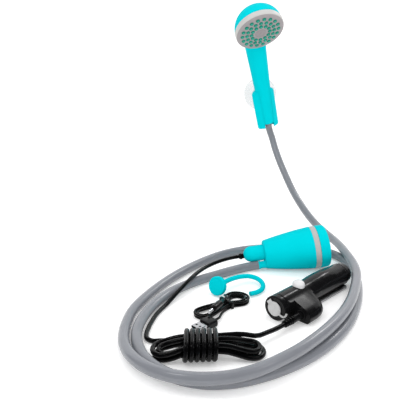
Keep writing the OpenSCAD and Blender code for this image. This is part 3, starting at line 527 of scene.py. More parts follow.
def make_hose():
    start = [PUMP @ Vector((-NOZZLE_LEN - d, NOZZLE_Y, NOZZLE_Z)) for d in (0, HOSE_D)]
    low, high = 5.9, 18.2
    first_lap = [
        (-83, -109.6), (-103.2, -123.9), (-121.7, -140), (-138.2, -158.4), (-151.5, -179.4),
        (-161.2, -202.2), (-167.2, -225.8), (-169.6, -250.2), (-165.8, -275), (-156, -298.5),
        (-140.5, -317.2), (-121, -329.6), (-98.5, -335.3), (-74, -333.2), (-50.7, -325.3), (-28.9, -314),
        (-8.3, -300.2), (10.5, -284.2), (27.4, -266.4), (42.5, -246.9), (55.7, -226.1), (66.6, -204.6),
        (76.3, -181.8), (84.4, -158.4), (90.9, -134.6), (95.4, -110.4), (97.6, -85.8), (95.9, -61.4),
        (86.4, -38.8), (68.6, -22.2), (45.5, -13.3), (21, -11.1), (-3.7, -12.4),
    ]
    second_lap = [
        (-28.2, -16.7), (-51.6, -25.4), (-72.8, -38.5), (-91.4, -55.2), (-108.3, -73.6), (-123.8, -93.1),
        (-137.9, -113.8), (-150.5, -135.3), (-161.7, -157.6), (-171.4, -180.5), (-179.1, -204.3),
        (-182.3, -229.1),
    ]
    climbing_lap = [
        (-182.2, -254.3, 6.2), (-177.8, -278.9, 7.8), (-167.5, -302.2, 10), (-151.3, -322.4, 12.2),
        (-128.5, -337, 14), (-103.7, -343.2, 15.5), (-79, -341.6, 16.4), (-55, -332.6, 17.1),
        (-33, -318.7, 18), (-12.5, -302.2, 18.2),
    ]
    top_lap = [
        (5.5, -284.1), (22, -265.3), (37.1, -245.4), (50.8, -224.5), (62.8, -202.5), (73, -179.4),
        (82, -155.8), (89.6, -131.7), (94, -107), (95.4, -83),
    ]
    rising = [
        (95.4, -60, high), (95.4, -47, high), (93.5, -22, high), (88.5, 4, 19.2), (81, 30, 22.5),
        (72, 57, 30), (62.5, 86, 42.5), (53, 114, 59), (43.5, 140, 81), (35, 161, 103), (28.5, 178, 123.5),
        (24.5, 190.5, 140),
    ]
    floor_points = [(-62, -96, 6.1)] + [(x, y, low) for x, y in first_lap + second_lap] + climbing_lap
    floor_points += [(x, y, high) for x, y in top_lap]
    stop = [HANDSET @ Vector((0, 0, -d)) for d in (HOSE_D, 0)]
    route = start + [KIT @ Vector(p) for p in floor_points + rising] + stop
    line = smooth_path(route, 6)
    hose = dress(tube("hose", line, HOSE_D * MILLIMETRE, 10), "kit", "hose_vinyl", HOSE,
                 "hose_coil", "hose_riser")


def make_power_cord():
    turns, wraps = 3, 6
    track_step, layer_step = 6.3, 5.6
    lifted_half, lifted_middle = 32, -6
    first_wrap, wrap_pitch = -29, 5.5
    wrap_half_y, wrap_half_z = 17.4, 9.6
    low = CORD_D / 2 + FLOOR_GAP
    wrap_z = wrap_half_z + CORD_D / 2 + FLOOR_GAP

    def rounded(v):
        return (1 if v > 0 else -1) * abs(v) ** 0.72

    def wrap_point(t):
        a = radians(-35 - 360 * t)
        x = first_wrap + wrap_pitch * t
        return x, wrap_half_y * rounded(cos(a)), wrap_z + wrap_half_z * rounded(sin(a))

    def loop(u):
        x, y = loop_point(radians(62 - 360 * u), track(u, turns), track_step, left=52, right=42, waist=2.8,
                          fold_left=6.8, fold_right=7)
        lift = (wrap_z - layer_step / 2 - low) * hank_rise(x - lifted_middle, lifted_half)
        return x, y, low + layer_step * climb(u, turns) + lift

    start = [PUMP @ Vector((-LOBE_LEN - GLAND_OUT - d, 0, LOBE_RISE)) for d in (0, CORD_D)]
    run = [
        (-74.5, -84.4, 16), (-94, -102, 15.3), (-112.4, -131.8, 15), (-123.7, -153, 12), (-134, -168.5, 7),
        (-142.5, -184, 3.4), (-152, -205, 2.6), (-156.9, -224.5, 2.6), (-159.2, -239, 2.6),
        (-159.9, -249.5, 2.6), (-158, -259, 2.6),
    ]
    leading_in = [(-58, 25), (-53, 25), (-48, 25), (-41.5, 23.6), (-36, 20.2), (-32, 15.5), (-29.6, 10.5)]
    wraps_to_loops = [
        (4, 17.7, 13.6), (6.4, 18.1, 9.2), (10.4, 17.7, 6.2), (15.2, 16.2, 4.8), (19, 14.5, 4.4),
    ]
    leading_out = [(31, 13.4, 13.8), (38, 13.9, 12.2), (43, 14.5, 11)]
    hank = [(x, y, low) for x, y in leading_in]
    hank += [wrap_point(i / LOOP_STEPS) for i in range(3, wraps * LOOP_STEPS - 3)]
    hank += wraps_to_loops
    hank += [loop(i / LOOP_STEPS) for i in range(1, turns * LOOP_STEPS)]
    hank += leading_out
    relief_end = BOSS_AT - PLUG_LEN - RELIEF_LEN
    stop = [PLUG @ Vector((relief_end - d, 0, 0)) for d in (CORD_D, 0)]
    route = start + [KIT @ Vector(p) for p in run] + [HANK @ Vector(p) for p in hank]
    route += [KIT @ Vector((-37, -258, 9.5))] + stop
    line = smooth_path(route, 3)
    cord = dress(tube("power_cord", line, CORD_D * MILLIMETRE), "kit", "black_rubber", RUBBER,
                 "power_cord_run", "power_cord_hank", "power_cord_tail")
    return cord, line


def make_charge_lead():
    turns, track_step, layer_step = 3.6, 4.2, 3.3
    low = LEAD_D / 2 + FLOOR_GAP

    def loop(u):
        x, y = loop_point(radians(70 - 360 * u), track(u, turns), track_step, left=42, right=25, waist=1.7,
                          fold_left=6.6, fold_right=8)
        return Vector((x, y, low + layer_step * (1 - climb(u, turns))))

    loops = [loop(i / LOOP_STEPS) for i in range(1, int((turns - 0.13) * LOOP_STEPS) + 1)]
    barrel = Vector(BARREL_PLACE)
    usb = Vector(USB_PLACE)
    stub = Vector((LEAD_D, 0, 0))
    leaving = barrel + turned("Z", BARREL_TURN) @ stub
    leading_in = [(-2, -0.8, 11.6), (1.5, 3.4, 11.2), (4.4, 7.8, 9.2), (8, 11.6, 6.6)]
    leading_out = [(-17, -11, 1.9), (-25, -16, 2.6), (-30, -19.6, 3.8)]
    route = [barrel, leaving] + [Vector(p) for p in leading_in] + loops
    route += [Vector(p) for p in leading_out] + [usb + stub, usb]
    line = smooth_path([LEAD @ p for p in route], 3)
    lead = dress(tube("charge_lead_wire", line, LEAD_D * MILLIMETRE), "charge_lead", "black_rubber", RUBBER,
                 "charge_lead_hank", "charge_lead_start", "charge_lead_end")
    return lead, line


make_hose()
power_cord, power_line = make_power_cord()
charge_lead, charge_line = make_charge_lead()


# Pump

SPIGOT_R = PUMP_WIDE_R - BAND_THICK
SPIGOT_IN = SPIGOT_R - PUMP_WALL
BAND_STOP = PUMP_LEN + BAND_LEN
SPIGOT_STOP = BAND_STOP + 6
CAP_STOP = BAND_STOP + CAP_LEN
CAP_WALL = 2.5
SLOT_COUNT = 12
SLOT_HALF = 1.2
PUMP_SWELL = 1.0
LOBE_SWELL = 1.1


def make_pump():
    data = bmesh.new()
    swell = [
        (PUMP_LEN * t, PUMP_REAR_R + (PUMP_WIDE_R - PUMP_REAR_R) * t + PUMP_SWELL * 4 * t * (1 - t), 0)
        for t in (0.15 + 0.07 * i for i in range(12))
    ]
    lathe_into(data, filleted([
        (0, 0, 0), (0, PUMP_REAR_R, 2.5), *swell, (PUMP_LEN, PUMP_WIDE_R, 0.5), (PUMP_LEN, SPIGOT_R, 0),
        (SPIGOT_STOP, SPIGOT_R, 0.4), (SPIGOT_STOP, SPIGOT_IN, 0.4), (PUMP_LEN, SPIGOT_IN, 0),
        (PUMP_WALL, PUMP_REAR_R - PUMP_WALL, 2), (PUMP_WALL, 0, 0),
    ]), PUMP)
    full = LOBE_R + LOBE_SWELL
    dome = [
        (full + LOBE_SWELL - LOBE_LEN - full * cos(a), full * sin(a))
        for a in (radians(7.5 * i) for i in range(13))
    ]
    lathe_into(data, dome + [(1, full)], PUMP @ shifted(0, 0, LOBE_RISE + LOBE_SWELL), around=64)
    lathe_into(data, filleted([
        (-NOZZLE_LEN, 4.2, 0), (-NOZZLE_LEN, NOZZLE_R + 0.7, 0.6), (-NOZZLE_LEN + 2.2, NOZZLE_R + 0.7, 0.8),
        (-NOZZLE_LEN + 3.4, NOZZLE_R, 0.8), (1, NOZZLE_R + 0.6, 0),
    ]), PUMP @ shifted(0, NOZZLE_Y, NOZZLE_Z), around=48)
    bmesh.ops.recalc_face_normals(data, faces=data.faces)
    dress(finish_mesh("pump_housing", data), "kit", "cyan_plastic", CYAN, "pump_body")

    band = filleted([
        (PUMP_LEN, SPIGOT_R, 0), (PUMP_LEN, PUMP_WIDE_R, 0.5),
        (BAND_STOP, PUMP_WIDE_R, 0.5), (BAND_STOP, SPIGOT_R, 0),
    ])
    dress(lathe("pump_ring", band, PUMP), "kit", "pale_plastic", BAND, "pump_band")

    cap = lathe("inlet_cap", filleted([
        (BAND_STOP + 0.3, SPIGOT_R + 0.1, 0), (BAND_STOP + 0.3, PUMP_WIDE_R, 0.5),
        (CAP_STOP, PUMP_WIDE_R, CAP_EDGE), (CAP_STOP, 0, 0),
        (CAP_STOP - CAP_WALL, 0, 0), (CAP_STOP - CAP_WALL, SPIGOT_IN - 1, 0.5),
        (SPIGOT_STOP + 0.3, SPIGOT_IN - 1, 0), (SPIGOT_STOP + 0.3, SPIGOT_R + 0.1, 0),
    ], 8), PUMP, closed=True)
    slots = [
        box("slot", (CAP_STOP - 4, -SLOT_HALF, SPIGOT_IN / 3), (CAP_STOP + 1, SLOT_HALF, SPIGOT_IN * 5 / 6),
            PUMP @ turned("X", 360 / SLOT_COUNT * i), 0.8, 2)
        for i in range(SLOT_COUNT)
    ]
    cut(cap, *slots)
    dress(cap, "strainer_cap", "cyan_plastic", CYAN, "strainer_cap")

    gland_end = -LOBE_LEN - GLAND_OUT
    gland = filleted([
        (gland_end, CORD_D / 2 + 0.3, 0), (gland_end, 3.6, 0.5), (gland_end + 2, 4.2, 0.5),
        (-LOBE_LEN - 1, 4.2, 0.4), (-LOBE_LEN - 1, 3.4, 0.2), (-LOBE_LEN + 4, 3.4, 0), (-LOBE_LEN + 4, 0, 0),
    ])
    dress(lathe("cord_gland", [Vector((gland_end, 0))] + gland, PUMP @ shifted(0, 0, LOBE_RISE), around=40),
          "kit", "black_rubber", RUBBER, "cable_gland")


make_pump()


# Handset

RING_IN = HEAD_R - RING_WALL
RING_STOP = HEAD_REACH + RING_LEN
PLATE_R = HEAD_R - 0.8
PLATE_CROWN = 2.5
NUB_R = 3.2
# Rings of nubs: share of the plate's radius and how many nubs
NUB_RINGS = ((0.77, 18), (0.58, 16), (0.39, 12))


def handle_radius(s):
    return HANDLE_END_R + (HANDLE_TOP_R - HANDLE_END_R) * s / HANDLE_CONE


def plate_front(radius):
    return RING_STOP + 1 + PLATE_CROWN * (1 - (radius / PLATE_R) ** 2)


def make_handset():
    neck = HANDLE_LEN - NECK_DROP
    neck_r = handle_radius(neck)
    data = bmesh.new()
    round_top = [(neck + neck_r * sin(a), neck_r * cos(a)) for a in (radians(9 * i) for i in range(11))]
    handle = filleted([(0, 0, 0), (0, HANDLE_END_R, 1.5), (neck, neck_r, 0)])
    lathe_into(data, handle + round_top, HANDSET, axis="Z", around=72)
    dome = [
        (HEAD_REACH - DOME_DEPTH * sin(a), (HEAD_R - 0.5) * cos(a))
        for a in (radians(4.5 * i) for i in range(21))
    ]
    lathe_into(data, [Vector((HEAD_REACH, 0))] + dome, HEAD, axis="Z", around=96)
    bmesh.ops.recalc_face_normals(data, faces=data.faces)
    body = finish_mesh("handset_shell", data)
    melted(body, 0.9, 10)
    cut(body,
        lathe("seat", rod_profile(HEAD_REACH - 0.2, RING_STOP + 20, HEAD_R + 0.3), HEAD, axis="Z"),
        lathe("bore", rod_profile(-2, 17, 8), HANDSET, axis="Z"))
    dress(body, "kit", "cyan_plastic", CYAN, "handset_body")

    ring = filleted([
        (HEAD_REACH, RING_IN, 0), (HEAD_REACH, HEAD_R - 0.6, 0.4), (HEAD_REACH + 1, HEAD_R, 0.6),
        (RING_STOP, HEAD_R, 1.6), (RING_STOP, RING_IN, 0),
    ])
    dress(lathe("head_ring", ring, HEAD, axis="Z", closed=True), "kit", "pale_plastic", PALE, "face_ring")

    crown = [(plate_front(r), r) for r in (PLATE_R * i / 12 for i in range(11, 0, -1))]
    edge_r = PLATE_R * 11.5 / 12
    spigot_r = RING_IN - 0.05
    plate = filleted([
        (RING_STOP - 4, spigot_r, 0), (RING_STOP, spigot_r, 0), (RING_STOP, PLATE_R, 0.2),
        (RING_STOP + 1, PLATE_R, 0.6), (plate_front(edge_r), edge_r, 0),
    ])
    dress(lathe("face_plate", plate + crown + [(plate_front(0), 0)], HEAD, axis="Z"),
          "kit", "grey_plastic", GREY, "spray_plate")

    mat = bmesh.new()
    lathe_into(mat, rod_profile(HEAD_REACH + 2.5, HEAD_REACH + 4.5, spigot_r), HEAD, axis="Z")
    tips = bmesh.new()
    for share, count in NUB_RINGS:
        radius = share * PLATE_R
        top = plate_front(radius) + 1.2
        nub = filleted([
            (top - 5, NUB_R, 0), (top - 0.9, NUB_R, 0.5), (top, NUB_R - 0.6, 0.4), (top, 0, 0),
        ], 3)
        tip = filleted([
            (top - 0.1, 1.3, 0), (top + 0.2, 1.2, 0.2), (top + 0.35, 0.6, 0.3), (top + 0.2, 0, 0),
        ], 3)
        for i in range(count):
            a = 2 * pi * i / count
            place = HEAD @ shifted(radius * cos(a), radius * sin(a), 0)
            lathe_into(mat, nub, place, axis="Z", around=20)
            lathe_into(tips, tip, place, axis="Z", around=16)
    for data in (mat, tips):
        bmesh.ops.recalc_face_normals(data, faces=data.faces)
    dress(finish_mesh("spray_mat", mat), "kit", "teal_rubber", TEAL, "nozzle_mat")
    # The tips wear the lighter teal, a painted highlight on the top of each nub
    dress(finish_mesh("nub_tips_painted_highlight", tips), "kit", "teal_rubber", TIP_PAINTED_HIGHLIGHT)

    top = plate_front(0)
    hub = filleted([
        (top - 1.5, 9, 0), (top + 0.1, 9, 0.3), (top + 0.4, 7.8, 0.6), (top + 0.4, 2.2, 0.3),
        (top + 1, 1.7, 0.4), (top + 1, 0, 0),
    ])
    dress(lathe("face_hub", hub, HEAD, axis="Z", around=64), "kit", "grey_plastic", HUB, "centre_cap")


make_handset()


# Holder

CLIP_R = 20
CLIP_TOP = 62
CLIP_LOW = -7
CLIP_ROUND = 8
CLIP_SLIP = 0.3
# Angles from the clip's front to its two lips, and over which the wall thins towards them
LIP_LEFT = 40
LIP_RIGHT = 60
LIP_SPAN = 44
LIP_THICK = 0.45
LIP_BEVEL = 0.3


def lip_limit(a, along):
    """Radius of the clip's outside, whose flat flanks thin towards the lips at the front."""
    degrees = a * 180 / pi
    past_lip = radians(min(degrees + 90 - LIP_RIGHT, 270 - LIP_LEFT - degrees))
    to_side = radians(LIP_SPAN) - past_lip
    if to_side <= 0:
        return CLIP_R
    thin = handle_radius(along) + LIP_THICK
    return thin * CLIP_R * sin(radians(LIP_SPAN)) / (thin * sin(past_lip) + CLIP_R * sin(to_side))


def make_holder():
    top_bore = handle_radius(CLIP_TOP) + CLIP_SLIP
    low_bore = handle_radius(CLIP_LOW) + CLIP_SLIP
    shoulder = [
        (CLIP_TOP + CLIP_ROUND * (sin(a) - 1), CLIP_R + CLIP_ROUND * (cos(a) - 1), 0)
        for a in (radians(8 * i) for i in range(10))
    ]
    wall = filleted([
        (CLIP_LOW, low_bore, 1), (CLIP_LOW, CLIP_R - 1, 3.2), *shoulder,
        (CLIP_TOP, top_bore, 0), (CLIP_LOW, low_bore, 1),
    ], 8)[:-1]
    data = bmesh.new()
    lathe_into(data, wall, HOLDER, axis="Z", around=80, closed=True,
               start=-90 + LIP_RIGHT, stop=270 - LIP_LEFT, limit=lip_limit)
    bmesh.ops.recalc_face_normals(data, faces=data.faces)
    caps = [face for face in data.faces if len(face.verts) > 4]
    edges = [edge for face in caps for edge in face.edges]
    bmesh.ops.bevel(data, geom=edges, offset=LIP_BEVEL * MILLIMETRE, segments=3, profile=0.5,
                    affect="EDGES")
    box_into(data, (-5, CLIP_R - 3, ARM_AT - 8), (5, ARM_REACH - 4, ARM_AT + 8), HOLDER, 1.2)
    lathe_into(data, filleted([(-5, 2.05, 0), (-5, 6, 0.6), (5, 6, 0.6), (5, 2.05, 0)]),
               HOLDER @ shifted(0, ARM_REACH, ARM_AT), around=48, closed=True)
    bmesh.ops.recalc_face_normals(data, faces=data.faces)
    dress(finish_mesh("handset_holder", data), "holder", "cyan_plastic", CYAN, "holder_clip")

    face = CUP_REACH - 12
    upright = CUP @ turned("X", -90)
    cup = filleted([
        (face + 2.5, 0, 0), (face + 2.5, 4.05, 0), (face, 4.05, 0), (face, 10, 0.8), (face + 2, 10.6, 1.5),
        (CUP_REACH - 8.2, CUP_R * 0.55, 6), (CUP_REACH - 4.8, CUP_R * 0.82, 6), (CUP_REACH - 1.0, CUP_R, 0.5),
        (CUP_REACH, CUP_R, 0.4), (CUP_REACH, CUP_R - 3.5, 1), (CUP_REACH - 4.2, CUP_R * 0.7, 5),
        (CUP_REACH - 6.8, CUP_R * 0.4, 4), (CUP_REACH - 7.6, 0, 0),
    ])
    dress(lathe("cup", cup, upright, axis="Z"), "suction_cup", "clear_vinyl", CLEAR, "suction_cup")


make_holder()


# Power lead's plug

def make_plug():
    front = BOSS_AT - PLUG_LEN
    end = front - RELIEF_LEN
    ribs = [(end, CORD_D / 2 + 0.1, 0), (end, CORD_D / 2 + 0.6, 0.3)]
    for i in range(RELIEF_RIBS):
        at = end + 1.4 + (RELIEF_LEN - 1.4) * i / RELIEF_RIBS
        radius = CORD_D / 2 + 0.9 + 0.22 * i
        ribs += [
            (at, radius - 0.7, 0.15), (at, radius + 0.4, 0.4), (at + 1.9, radius + 0.45, 0.4),
            (at + 1.9, radius - 0.65, 0.15),
        ]
    ribs += [(front, PLUG_R - 0.8, 0), (front, 0, 0)]
    relief = lathe("cord_relief", [Vector((end, 0))] + filleted(ribs, 3), PLUG, around=40)
    dress(relief, "kit", "black_rubber", RUBBER, "plug_relief")
    body = filleted([
        (front, 0, 0), (front, PLUG_R - 0.4, 0.6), (BOSS_AT - 6, PLUG_R - 0.4, 0.3),
        (BOSS_AT - 5.6, PLUG_R, 0.3), (BOSS_AT, PLUG_R, 0.5), (BOSS_AT, 0, 0),
    ])
    plug = lathe("plug_body", body, PLUG, around=48)
    dress(plug, "kit", "black_plastic", BLACK, "dc_plug")
    return relief, plug


relief, plug = make_plug()


# Battery pack

PACK_SWELL = 2.0
PACK_WALL = 2
# The boss along the pack: share of its length and share of its reach
BOSS_STATIONS = ((-0.3, 1), (0.5, 1), (0.78, 0.97), (1, 0.9), (1.14, 0.8), (1.24, 0.6))
COVER_R = 8.3
COVER_BACK = -1.8
COVER_FRONT = -0.3
COVER_HINGE_OUT = 10.4


def boss_section(x, reach):
    """The boss across the pack: a roof sloping down from the shell to the outer side."""
    outline = [
        (0, 11), (-9.5, 10.2), (-reach + 6.5, 2.2), (-reach + 2.2, -1), (-reach, -6),
        (-reach + 0.8, -10.5), (-reach + 4, -13.5), (0, -13.5),
    ]
    return [(x, y, z) for y, z in outline]


def skin_into(target, sections, matrix):
    """Joins outlines with the same number of points into one closed skin."""
    rows = [[target.verts.new(matrix @ Vector(p)) for p in section] for section in sections]
    count = len(rows[0])
    for a, b in zip(rows[:-1], rows[1:]):
        for k in range(count):
            j = (k + 1) % count
            target.faces.new((a[k], a[j], b[j], b[k]))
    target.faces.new(rows[0])
    target.faces.new(list(reversed(rows[-1])))


def make_pack():
    shell_stop = PACK_LEN - TAIL_LEN
    data = bmesh.new()
    swell_start = BUTTON_AT + BUTTON_R
    swell = [(swell_start + (shell_stop - swell_start) * t, PACK_R + PACK_SWELL * sin(pi * t) ** 2)
             for t in (0.1 * i for i in range(1, 10))]
    side = [
        (BEZEL_LEN, 0), (BEZEL_LEN, PACK_R), (swell_start, PACK_R), *swell,
        (shell_stop, PACK_R), (shell_stop, 0),
    ]
    lathe_into(data, side, PACK, limit=lambda a, along: PACK_R + PACK_SWELL * max(0.0, sin(a)))
    skin_into(data, [
        boss_section(BOSS_AT + BOSS_LEN * along, BOSS_REACH * reach) for along, reach in BOSS_STATIONS
    ], PACK)
    bmesh.ops.recalc_face_normals(data, faces=data.faces)
    shell = finish_mesh("pack_housing", data)
    to_pack = PACK.inverted()

    def near_boss(point):
        local = to_pack @ point
        return BOSS_AT - 6 < local.x < BOSS_AT + BOSS_LEN + 16 and local.y < 3

    melted(shell, 0.7, 45, near_boss)
    cavity_stop = BOSS_AT + BOSS_LEN * 0.6
    cut(shell,
        box("front", (BOSS_AT - 14, -BOSS_REACH - 9, -30), (BOSS_AT, -PACK_R + 0.6, 30), PACK),
        lathe("bore", rod_profile(0, PACK_LEN, PACK_R - PACK_WALL), PACK),
        box("cavity", (BOSS_AT + 2.2, -BOSS_REACH + 7, BOSS_Z - 7), (cavity_stop, 0, BOSS_Z + 4), PACK, 1),
        lathe("hole", rod_profile(0, PACK_R + 3, BUTTON_R + 0.3), PACK @ shifted(BUTTON_AT, 0, 0), axis="Z"),
        lathe("entry", rod_profile(BOSS_AT - 3, BOSS_AT + 4, 3), PLUG))
    dress(shell, "kit", "black_plastic", BLACK, "pack_shell")

    collar = filleted([
        (BOSS_AT - 1.6, PLUG_R + 0.4, 0), (BOSS_AT - 1.6, PLUG_R + 1.6, 0.5), (BOSS_AT + 0.8, PLUG_R + 2, 0),
        (BOSS_AT + 0.8, PLUG_R + 0.4, 0),
    ])
    dress(lathe("socket_collar", collar, PLUG, around=48, closed=True), "kit", "black_plastic", BLACK)

    bezel = filleted([
        (BEZEL_LEN - 0.4, PACK_R - 2.8, 0), (0.2, PACK_R - 2.8, 0.3), (0, PACK_R - 2.3, 0.3),
        (0, PACK_R, 1.2),
        (BEZEL_LEN - 0.5, PACK_R, 0.4), (BEZEL_LEN - 0.5, PACK_R - 0.7, 0.2), (BEZEL_LEN, PACK_R - 0.7, 0),
        (BEZEL_LEN, PACK_R - 2.1, 0), (BEZEL_LEN + 3, PACK_R - 2.1, 0), (BEZEL_LEN + 3, PACK_R - 3.2, 0),
    ])
    dress(lathe("pack_rim", bezel, PACK, closed=True), "kit", "black_plastic", BLACK, "pack_bezel")

    tail = filleted([
        (shell_stop, 0, 0), (shell_stop, PACK_R - 0.5, 0.2), (shell_stop + 0.5, PACK_R, 0.4),
        (shell_stop + 2, PACK_R, 0.5), (shell_stop + 2.6, PACK_R - 1, 0.3), (PACK_LEN - 2, PACK_R - 1.6, 2),
        (PACK_LEN, PACK_R - 3.4, 1.5), (PACK_LEN, 0, 0),
    ])
    dress(lathe("pack_tail", tail, PACK), "kit", "black_plastic", BLACK, "tail_cap")

    rim = PACK_R + 0.8
    crown = [(rim + BUTTON_CROWN * sqrt(1 - (r / BUTTON_R) ** 2), r)
             for r in (BUTTON_R * sin(radians(90 - 7.5 * i)) for i in range(1, 12))]
    button = filleted([(12.9, 2.9, 0), (12.2, 2.9, 0), (12.2, BUTTON_R, 0.2), (rim, BUTTON_R, 0)])
    dress(lathe("push_button", button + crown + [(rim + BUTTON_CROWN, 0)], PACK @ shifted(BUTTON_AT, 0, 0),
                axis="Z", around=64), "power_button", "pale_plastic", WHITE, "power_button")

    back, front = COVER_BACK, COVER_FRONT
    cover = bmesh.new()
    lid = filleted([
        (front, 0, 0), (front, COVER_R, 0.3), (back, COVER_R, 0.7), (back, 7, 0.3), (back + 0.3, 6.4, 0.3),
        (back + 0.3, 0, 0),
    ])
    lathe_into(cover, lid, PACK, around=72)
    tab = filleted([
        (back, 4.4, 0), (back, 6.2, 0.4), (front, 6.2, 0.4), (front, 4.4, 0.4), (back, 4.4, 0),
    ])[:-1]
    lathe_into(cover, tab, PACK @ shifted(0, -11, 0), around=40, closed=True, start=180, stop=360)
    hinge = PACK @ turned("X", 45)
    box_into(cover, (back, 0, -3), (front, COVER_HINGE_OUT, 3), hinge, 0.3, 2)
    lathe_into(cover, filleted([(-3, 0, 0), (-3, 0.75, 0.2), (3, 0.75, 0.2), (3, 0, 0)]),
               hinge @ shifted((back + front) / 2, COVER_HINGE_OUT, 0), axis="Z", around=24)
    bmesh.ops.recalc_face_normals(cover, faces=cover.faces)
    dress(finish_mesh("port_lid", cover), "port_cover", "pale_plastic", COVER, "port_cover")

    strip_start = BOSS_AT + BOSS_LEN + 7
    strip = bmesh.new()
    box_into(strip, (strip_start, -14.8, -13.6), (shell_stop - 2, -9.5, -9.6), PACK, 1.2, 4)
    box_into(strip, (shell_stop - 11, -14.5, -13.2), (shell_stop - 3, -7, -8.4), PACK, 0.8, 3)
    bmesh.ops.recalc_face_normals(strip, faces=strip.faces)
    dress(finish_mesh("clip_band", strip), "kit", "steel", STRIP, "belt_clip")


make_pack()


# Hook

HOOK_ROD_D = 5.8
HOOK_BASE_R = 11.5


def make_hook():
    centre = Vector((-84, -156, 12.2))
    normal = Vector((-0.6, -0.75, 0.28)).normalized()
    points = [
        tuple(centre), (-76, -146, 12), (-65, -133, 11), (-54, -124.5, 10), (-42, -120, 8.5),
        (-32, -123, 6.5), (-27, -134, 5), (-29, -147, 4), (-36, -156, 4), (-45, -161, 4.2),
    ]
    line = smooth_path([KIT @ Vector(p) for p in points], 8)
    rod = tube("hook_rod", line, HOOK_ROD_D * MILLIMETRE)
    dress(rod, "hook", "cyan_plastic", CYAN, "hook")
    disc = filleted([
        (-6.5, 0, 0), (-6.5, 8.5, 2), (-2.5, HOOK_BASE_R, 2), (2.5, HOOK_BASE_R, 1.2), (2.5, 9.5, 0.5),
        (1.8, 8.8, 0.5), (1.8, 0, 0),
    ])
    turn = normal.to_track_quat("Z", "Y").to_matrix().to_4x4()
    dress(lathe("hook_base", disc, KIT @ Matrix.Translation(centre) @ turn, axis="Z", around=64),
          "hook", "cyan_plastic", CYAN)


make_hook()


# Charging lead's plugs and tie

def make_lead_ends():
    usb = LEAD @ shifted(*USB_PLACE)
    body = bmesh.new()
    box_into(body, (-16, -7.5, -4), (-1.2, 7.5, 4), usb, 2.2, 5)
    lathe_into(body, filleted([(-2, 0, 0), (-2, 3, 0.3), (0, 2.2, 0.5), (0, 0, 0)]), usb, around=32)
    for i in range(3):
        box_into(body, (-7 + 1.8 * i, -7.7, -2), (-6.2 + 1.8 * i, 7.7, 2), usb, 0.3, 2)
    bmesh.ops.recalc_face_normals(body, faces=body.faces)
    usb_body = dress(finish_mesh("usb_grip", body), "charge_lead", "black_plastic", BLACK, "usb_plug_body")
    shell = box("usb_metal", (-28, -6, -2.25), (-16, 6, 2.25), usb, 0.5, 3)
    cut(shell,
        box("mouth", (-29, -5.6, -0.3), (-16.5, 5.6, 1.9), usb),
        box("window", (-24.5, -3.8, 1), (-22, -1.6, 4), usb),
        box("window", (-24.5, 1.6, 1), (-22, 3.8, 4), usb))
    usb_shell = dress(shell, "charge_lead", "steel", STEEL, "usb_plug_shell")
    barrel = LEAD @ shifted(*BARREL_PLACE) @ turned("Z", BARREL_TURN)
    grip = filleted([(-22, 0, 0), (-22, 3.6, 0.6), (-20.5, 4, 0.5), (-7, 4, 1.5), (0, 1.9, 0.4), (0, 0, 0)])
    barrel_body = dress(lathe("barrel_grip", grip, barrel, around=40), "charge_lead", "black_plastic", BLACK,
                        "charge_plug_body")
    width, height, thick = 9.2, 6.6, 1.2
    outer, top = width + thick, height + thick
    tie = bmesh.new()
    for low, high in (((-2, -outer, 0), (2, -width, top)), ((-2, width, 0), (2, outer, top)),
                      ((-2, -outer, height), (2, outer, top))):
        box_into(tie, low, high, LEAD, 0.4, 2)
    bmesh.ops.recalc_face_normals(tie, faces=tie.faces)
    lead_tie = dress(finish_mesh("tie", tie), "charge_lead", "black_rubber", RUBBER, "lead_tie")
    return [usb_body, usb_shell, barrel_body, nodes["charge_plug_tip"], lead_tie]


lead_ends = make_lead_ends()


# Floor and light

FLOOR_LIFT = 0.26


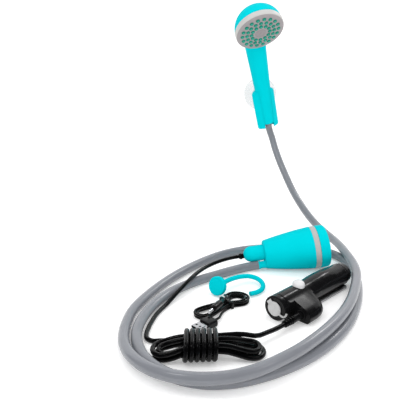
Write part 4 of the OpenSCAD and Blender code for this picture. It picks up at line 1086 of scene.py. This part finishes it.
def make_stage():
    floor_material, tree, shader, place = new_material("floor")
    cloud = noise(tree, place, 2.0)
    tree.links.new(ramp(tree, cloud, (0.88, 0.88, 0.88), (0.895, 0.895, 0.895)), shader.inputs["Base Color"])
    shader.inputs["Roughness"].default_value = 0.7
    shader.inputs["Emission Color"].default_value = (1, 1, 1, 1)
    light_path = tree.nodes.new("ShaderNodeLightPath")
    glow = light_path.outputs["Is Camera Ray"]
    for ray in ("Is Glossy Ray", "Is Transmission Ray"):
        either = tree.nodes.new("ShaderNodeMath")
        either.operation = "MAXIMUM"
        tree.links.new(glow, either.inputs[0])
        tree.links.new(light_path.outputs[ray], either.inputs[1])
        glow = either.outputs["Value"]
    paler = tree.nodes.new("ShaderNodeMath")
    paler.operation = "MULTIPLY"
    paler.inputs[1].default_value = FLOOR_LIFT
    tree.links.new(glow, paler.inputs[0])
    tree.links.new(paler.outputs["Value"], shader.inputs["Emission Strength"])
    data = bmesh.new()
    back, curve = 1.5, 0.9
    section = [(-4.0, 0.0), (0.0, 0.0)]
    section += [(back + curve * sin(a), curve - curve * cos(a)) for a in (radians(6 * i) for i in range(16))]
    section += [(back + curve, 4.0)]
    rows = [[data.verts.new((x, y, z)) for y, z in section] for x in (-5.0, 5.0)]
    for k in range(len(section) - 1):
        data.faces.new((rows[0][k], rows[1][k], rows[1][k + 1], rows[0][k + 1]))
    floor = finish_mesh("floor", data)
    paint(floor, floor_material)

    world = bpy.data.worlds.new("studio")
    world.use_nodes = True
    world.node_tree.nodes["Background"].inputs["Color"].default_value = (1, 1, 1, 1)
    world.node_tree.nodes["Background"].inputs["Strength"].default_value = 1.0
    world.cycles_visibility.glossy = False
    bpy.context.scene.world = world

    for name, place, aim, size, power, in_reflections in (
        ("key", (-0.9, -0.5, 1.5), (0, -0.1, 0.05), (0.12, 0.4), 3, True),
        ("fill", (1.1, -0.7, 1.2), (0, -0.1, 0.05), (0.15, 0.4), 1.5, True),
        ("back", (1.0, 1.0, 1.3), (0, -0.1, 0.05), (0.12, 0.25), 3, True),
        ("top", (0.1, 0.25, 1.4), (0, -0.1, 0), (1.6, 0.12), 3, True),
        ("front", (-0.1, -1.6, 0.25), (0, -0.1, 0.1), (1.4, 0.5), 10, False),
    ):
        light = bpy.data.lights.new(name, "AREA")
        light.shape = "RECTANGLE"
        light.size, light.size_y = size
        light.energy = power
        lamp = bpy.data.objects.new(name, light)
        lamp.location = place
        lamp.rotation_euler = (Vector(aim) - Vector(place)).to_track_quat("-Z", "Y").to_euler()
        lamp.visible_glossy = in_reflections
        bpy.context.scene.collection.objects.link(lamp)

    # The low front lamp leaves the hose out, so that the hose stays darker below than above
    flagged = bpy.data.collections.new("flagged")
    flagged.objects.link(bpy.data.objects["hose"])
    flagged.collection_objects[0].light_linking.link_state = "EXCLUDE"
    bpy.data.objects["front"].light_linking.receiver_collection = flagged


make_stage()
bpy.context.scene.view_settings.view_transform = "Standard"
